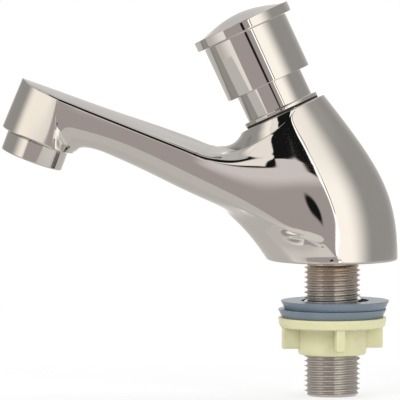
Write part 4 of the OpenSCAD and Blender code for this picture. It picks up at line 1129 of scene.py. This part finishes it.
def seenDirectly(tree):
    # 1 for rays that show the background: from the camera, or by way of metal or glass
    path = addNode(tree, "LightPath").outputs
    shiny = maths(tree, "MAXIMUM", path["Is Camera Ray"], path["Is Glossy Ray"])
    return maths(tree, "MAXIMUM", shiny, path["Is Transmission Ray"])


def buildFloor():
    # white where the camera sees it, apart from a part of the shadow near the tap; clear from below
    look, tree, shader, place = newLook("whiteFloor")
    look.cycles.emission_sampling = "NONE"
    shader.inputs["Base Color"].default_value = studio["floorColour"]
    shader.inputs["Roughness"].default_value = studio["floorRough"]
    shader.inputs["Specular IOR Level"].default_value = 0.0
    glow = addNode(tree, "Emission", Strength=1.0, Color=(1, 1, 1, 1))
    away = addNode(tree, "VectorMath", {0: place}, operation="LENGTH").outputs["Value"]
    share = remap(tree, away, studio["shadowSpan"], interpolation_type="SMOOTHSTEP",
        To_Min=1 - studio["shadowShare"], To_Max=1.0)
    seen = maths(tree, "MULTIPLY", seenDirectly(tree), share)
    lit = addNode(tree, "MixShader", {0: seen, 1: shader.outputs[0], 2: glow.outputs[0]})
    below = addNode(tree, "NewGeometry").outputs["Backfacing"]
    clear = addNode(tree, "BsdfTransparent")
    mix = addNode(tree, "MixShader", {0: below, 1: lit.outputs[0], 2: clear.outputs[0]})
    tree.links.new(mix.outputs[0], tree.nodes["Material Output"].inputs["Surface"])
    span = (-studio["floorHalf"], studio["floorHalf"])
    floor = addSheet("studioFloor", span, span, cadBox[0].z - studio["floorDrop"], look)
    floor.visible_glossy = False   # in the metal, the tent's lower half stands for the floor


def buildWorld():
    world = bpy.data.worlds.new("studioWorld")
    bpy.context.scene.world = world
    world.use_nodes = True
    tree = world.node_tree
    back = tree.nodes["Background"]
    back.inputs["Color"].default_value = (1, 1, 1, 1)
    level = remap(tree, seenDirectly(tree), (0.0, 1.0), To_Min=studio["worldLight"], To_Max=1.0)
    tree.links.new(level, back.inputs["Strength"])


def addLamp(name, place, size, power):
    data = bpy.data.lights.new(name, "AREA")
    data.shape, data.size, data.energy = "SQUARE", size, power
    lamp = addObject(name, data)
    lamp.location = place
    lamp.rotation_mode = "QUATERNION"
    lamp.rotation_quaternion = (Vector(studio["lampAim"]) - Vector(place)).to_track_quat("-Z", "Y")
    lamp.visible_glossy = False
    lamp.visible_camera = False


buildTent()
buildTable()
buildFloor()
buildWorld()
for lamp in lamps:
    addLamp(**lamp)
print("studio ready")

# Camera: a long lens a little right of square to the spout and a little above it
view = dict(azimuth=7.0, elevation=4.0, scale=0.368, focalPixels=8000, imageWidth=400, across=-48.72,
    above=22.0, sensor=36.0, clip=(0.1, 60.0))


def buildCamera():
    a, e = np.radians(view["azimuth"]), np.radians(view["elevation"])
    across = np.array([np.cos(a), np.sin(a), 0])
    lift = np.array([-np.sin(a) * np.sin(e), np.cos(a) * np.sin(e), np.cos(e)])
    back = np.array([np.sin(a) * np.cos(e), -np.cos(a) * np.cos(e), np.sin(e)])
    data = bpy.data.cameras.new("photoCamera")
    data.sensor_width = view["sensor"]
    data.lens = view["sensor"] * view["focalPixels"] / view["imageWidth"]
    data.clip_start, data.clip_end = view["clip"]
    camera = addObject("photoCamera", data)
    distance = view["scale"] * view["focalPixels"]
    camera.location = (across * view["across"] + lift * view["above"] + back * distance) * mm
    camera.rotation_mode = "QUATERNION"
    camera.rotation_quaternion = Vector(-back).to_track_quat("-Z", "Y")
    bpy.context.scene.camera = camera


buildCamera()
bpy.context.scene.view_settings.view_transform = "Standard"
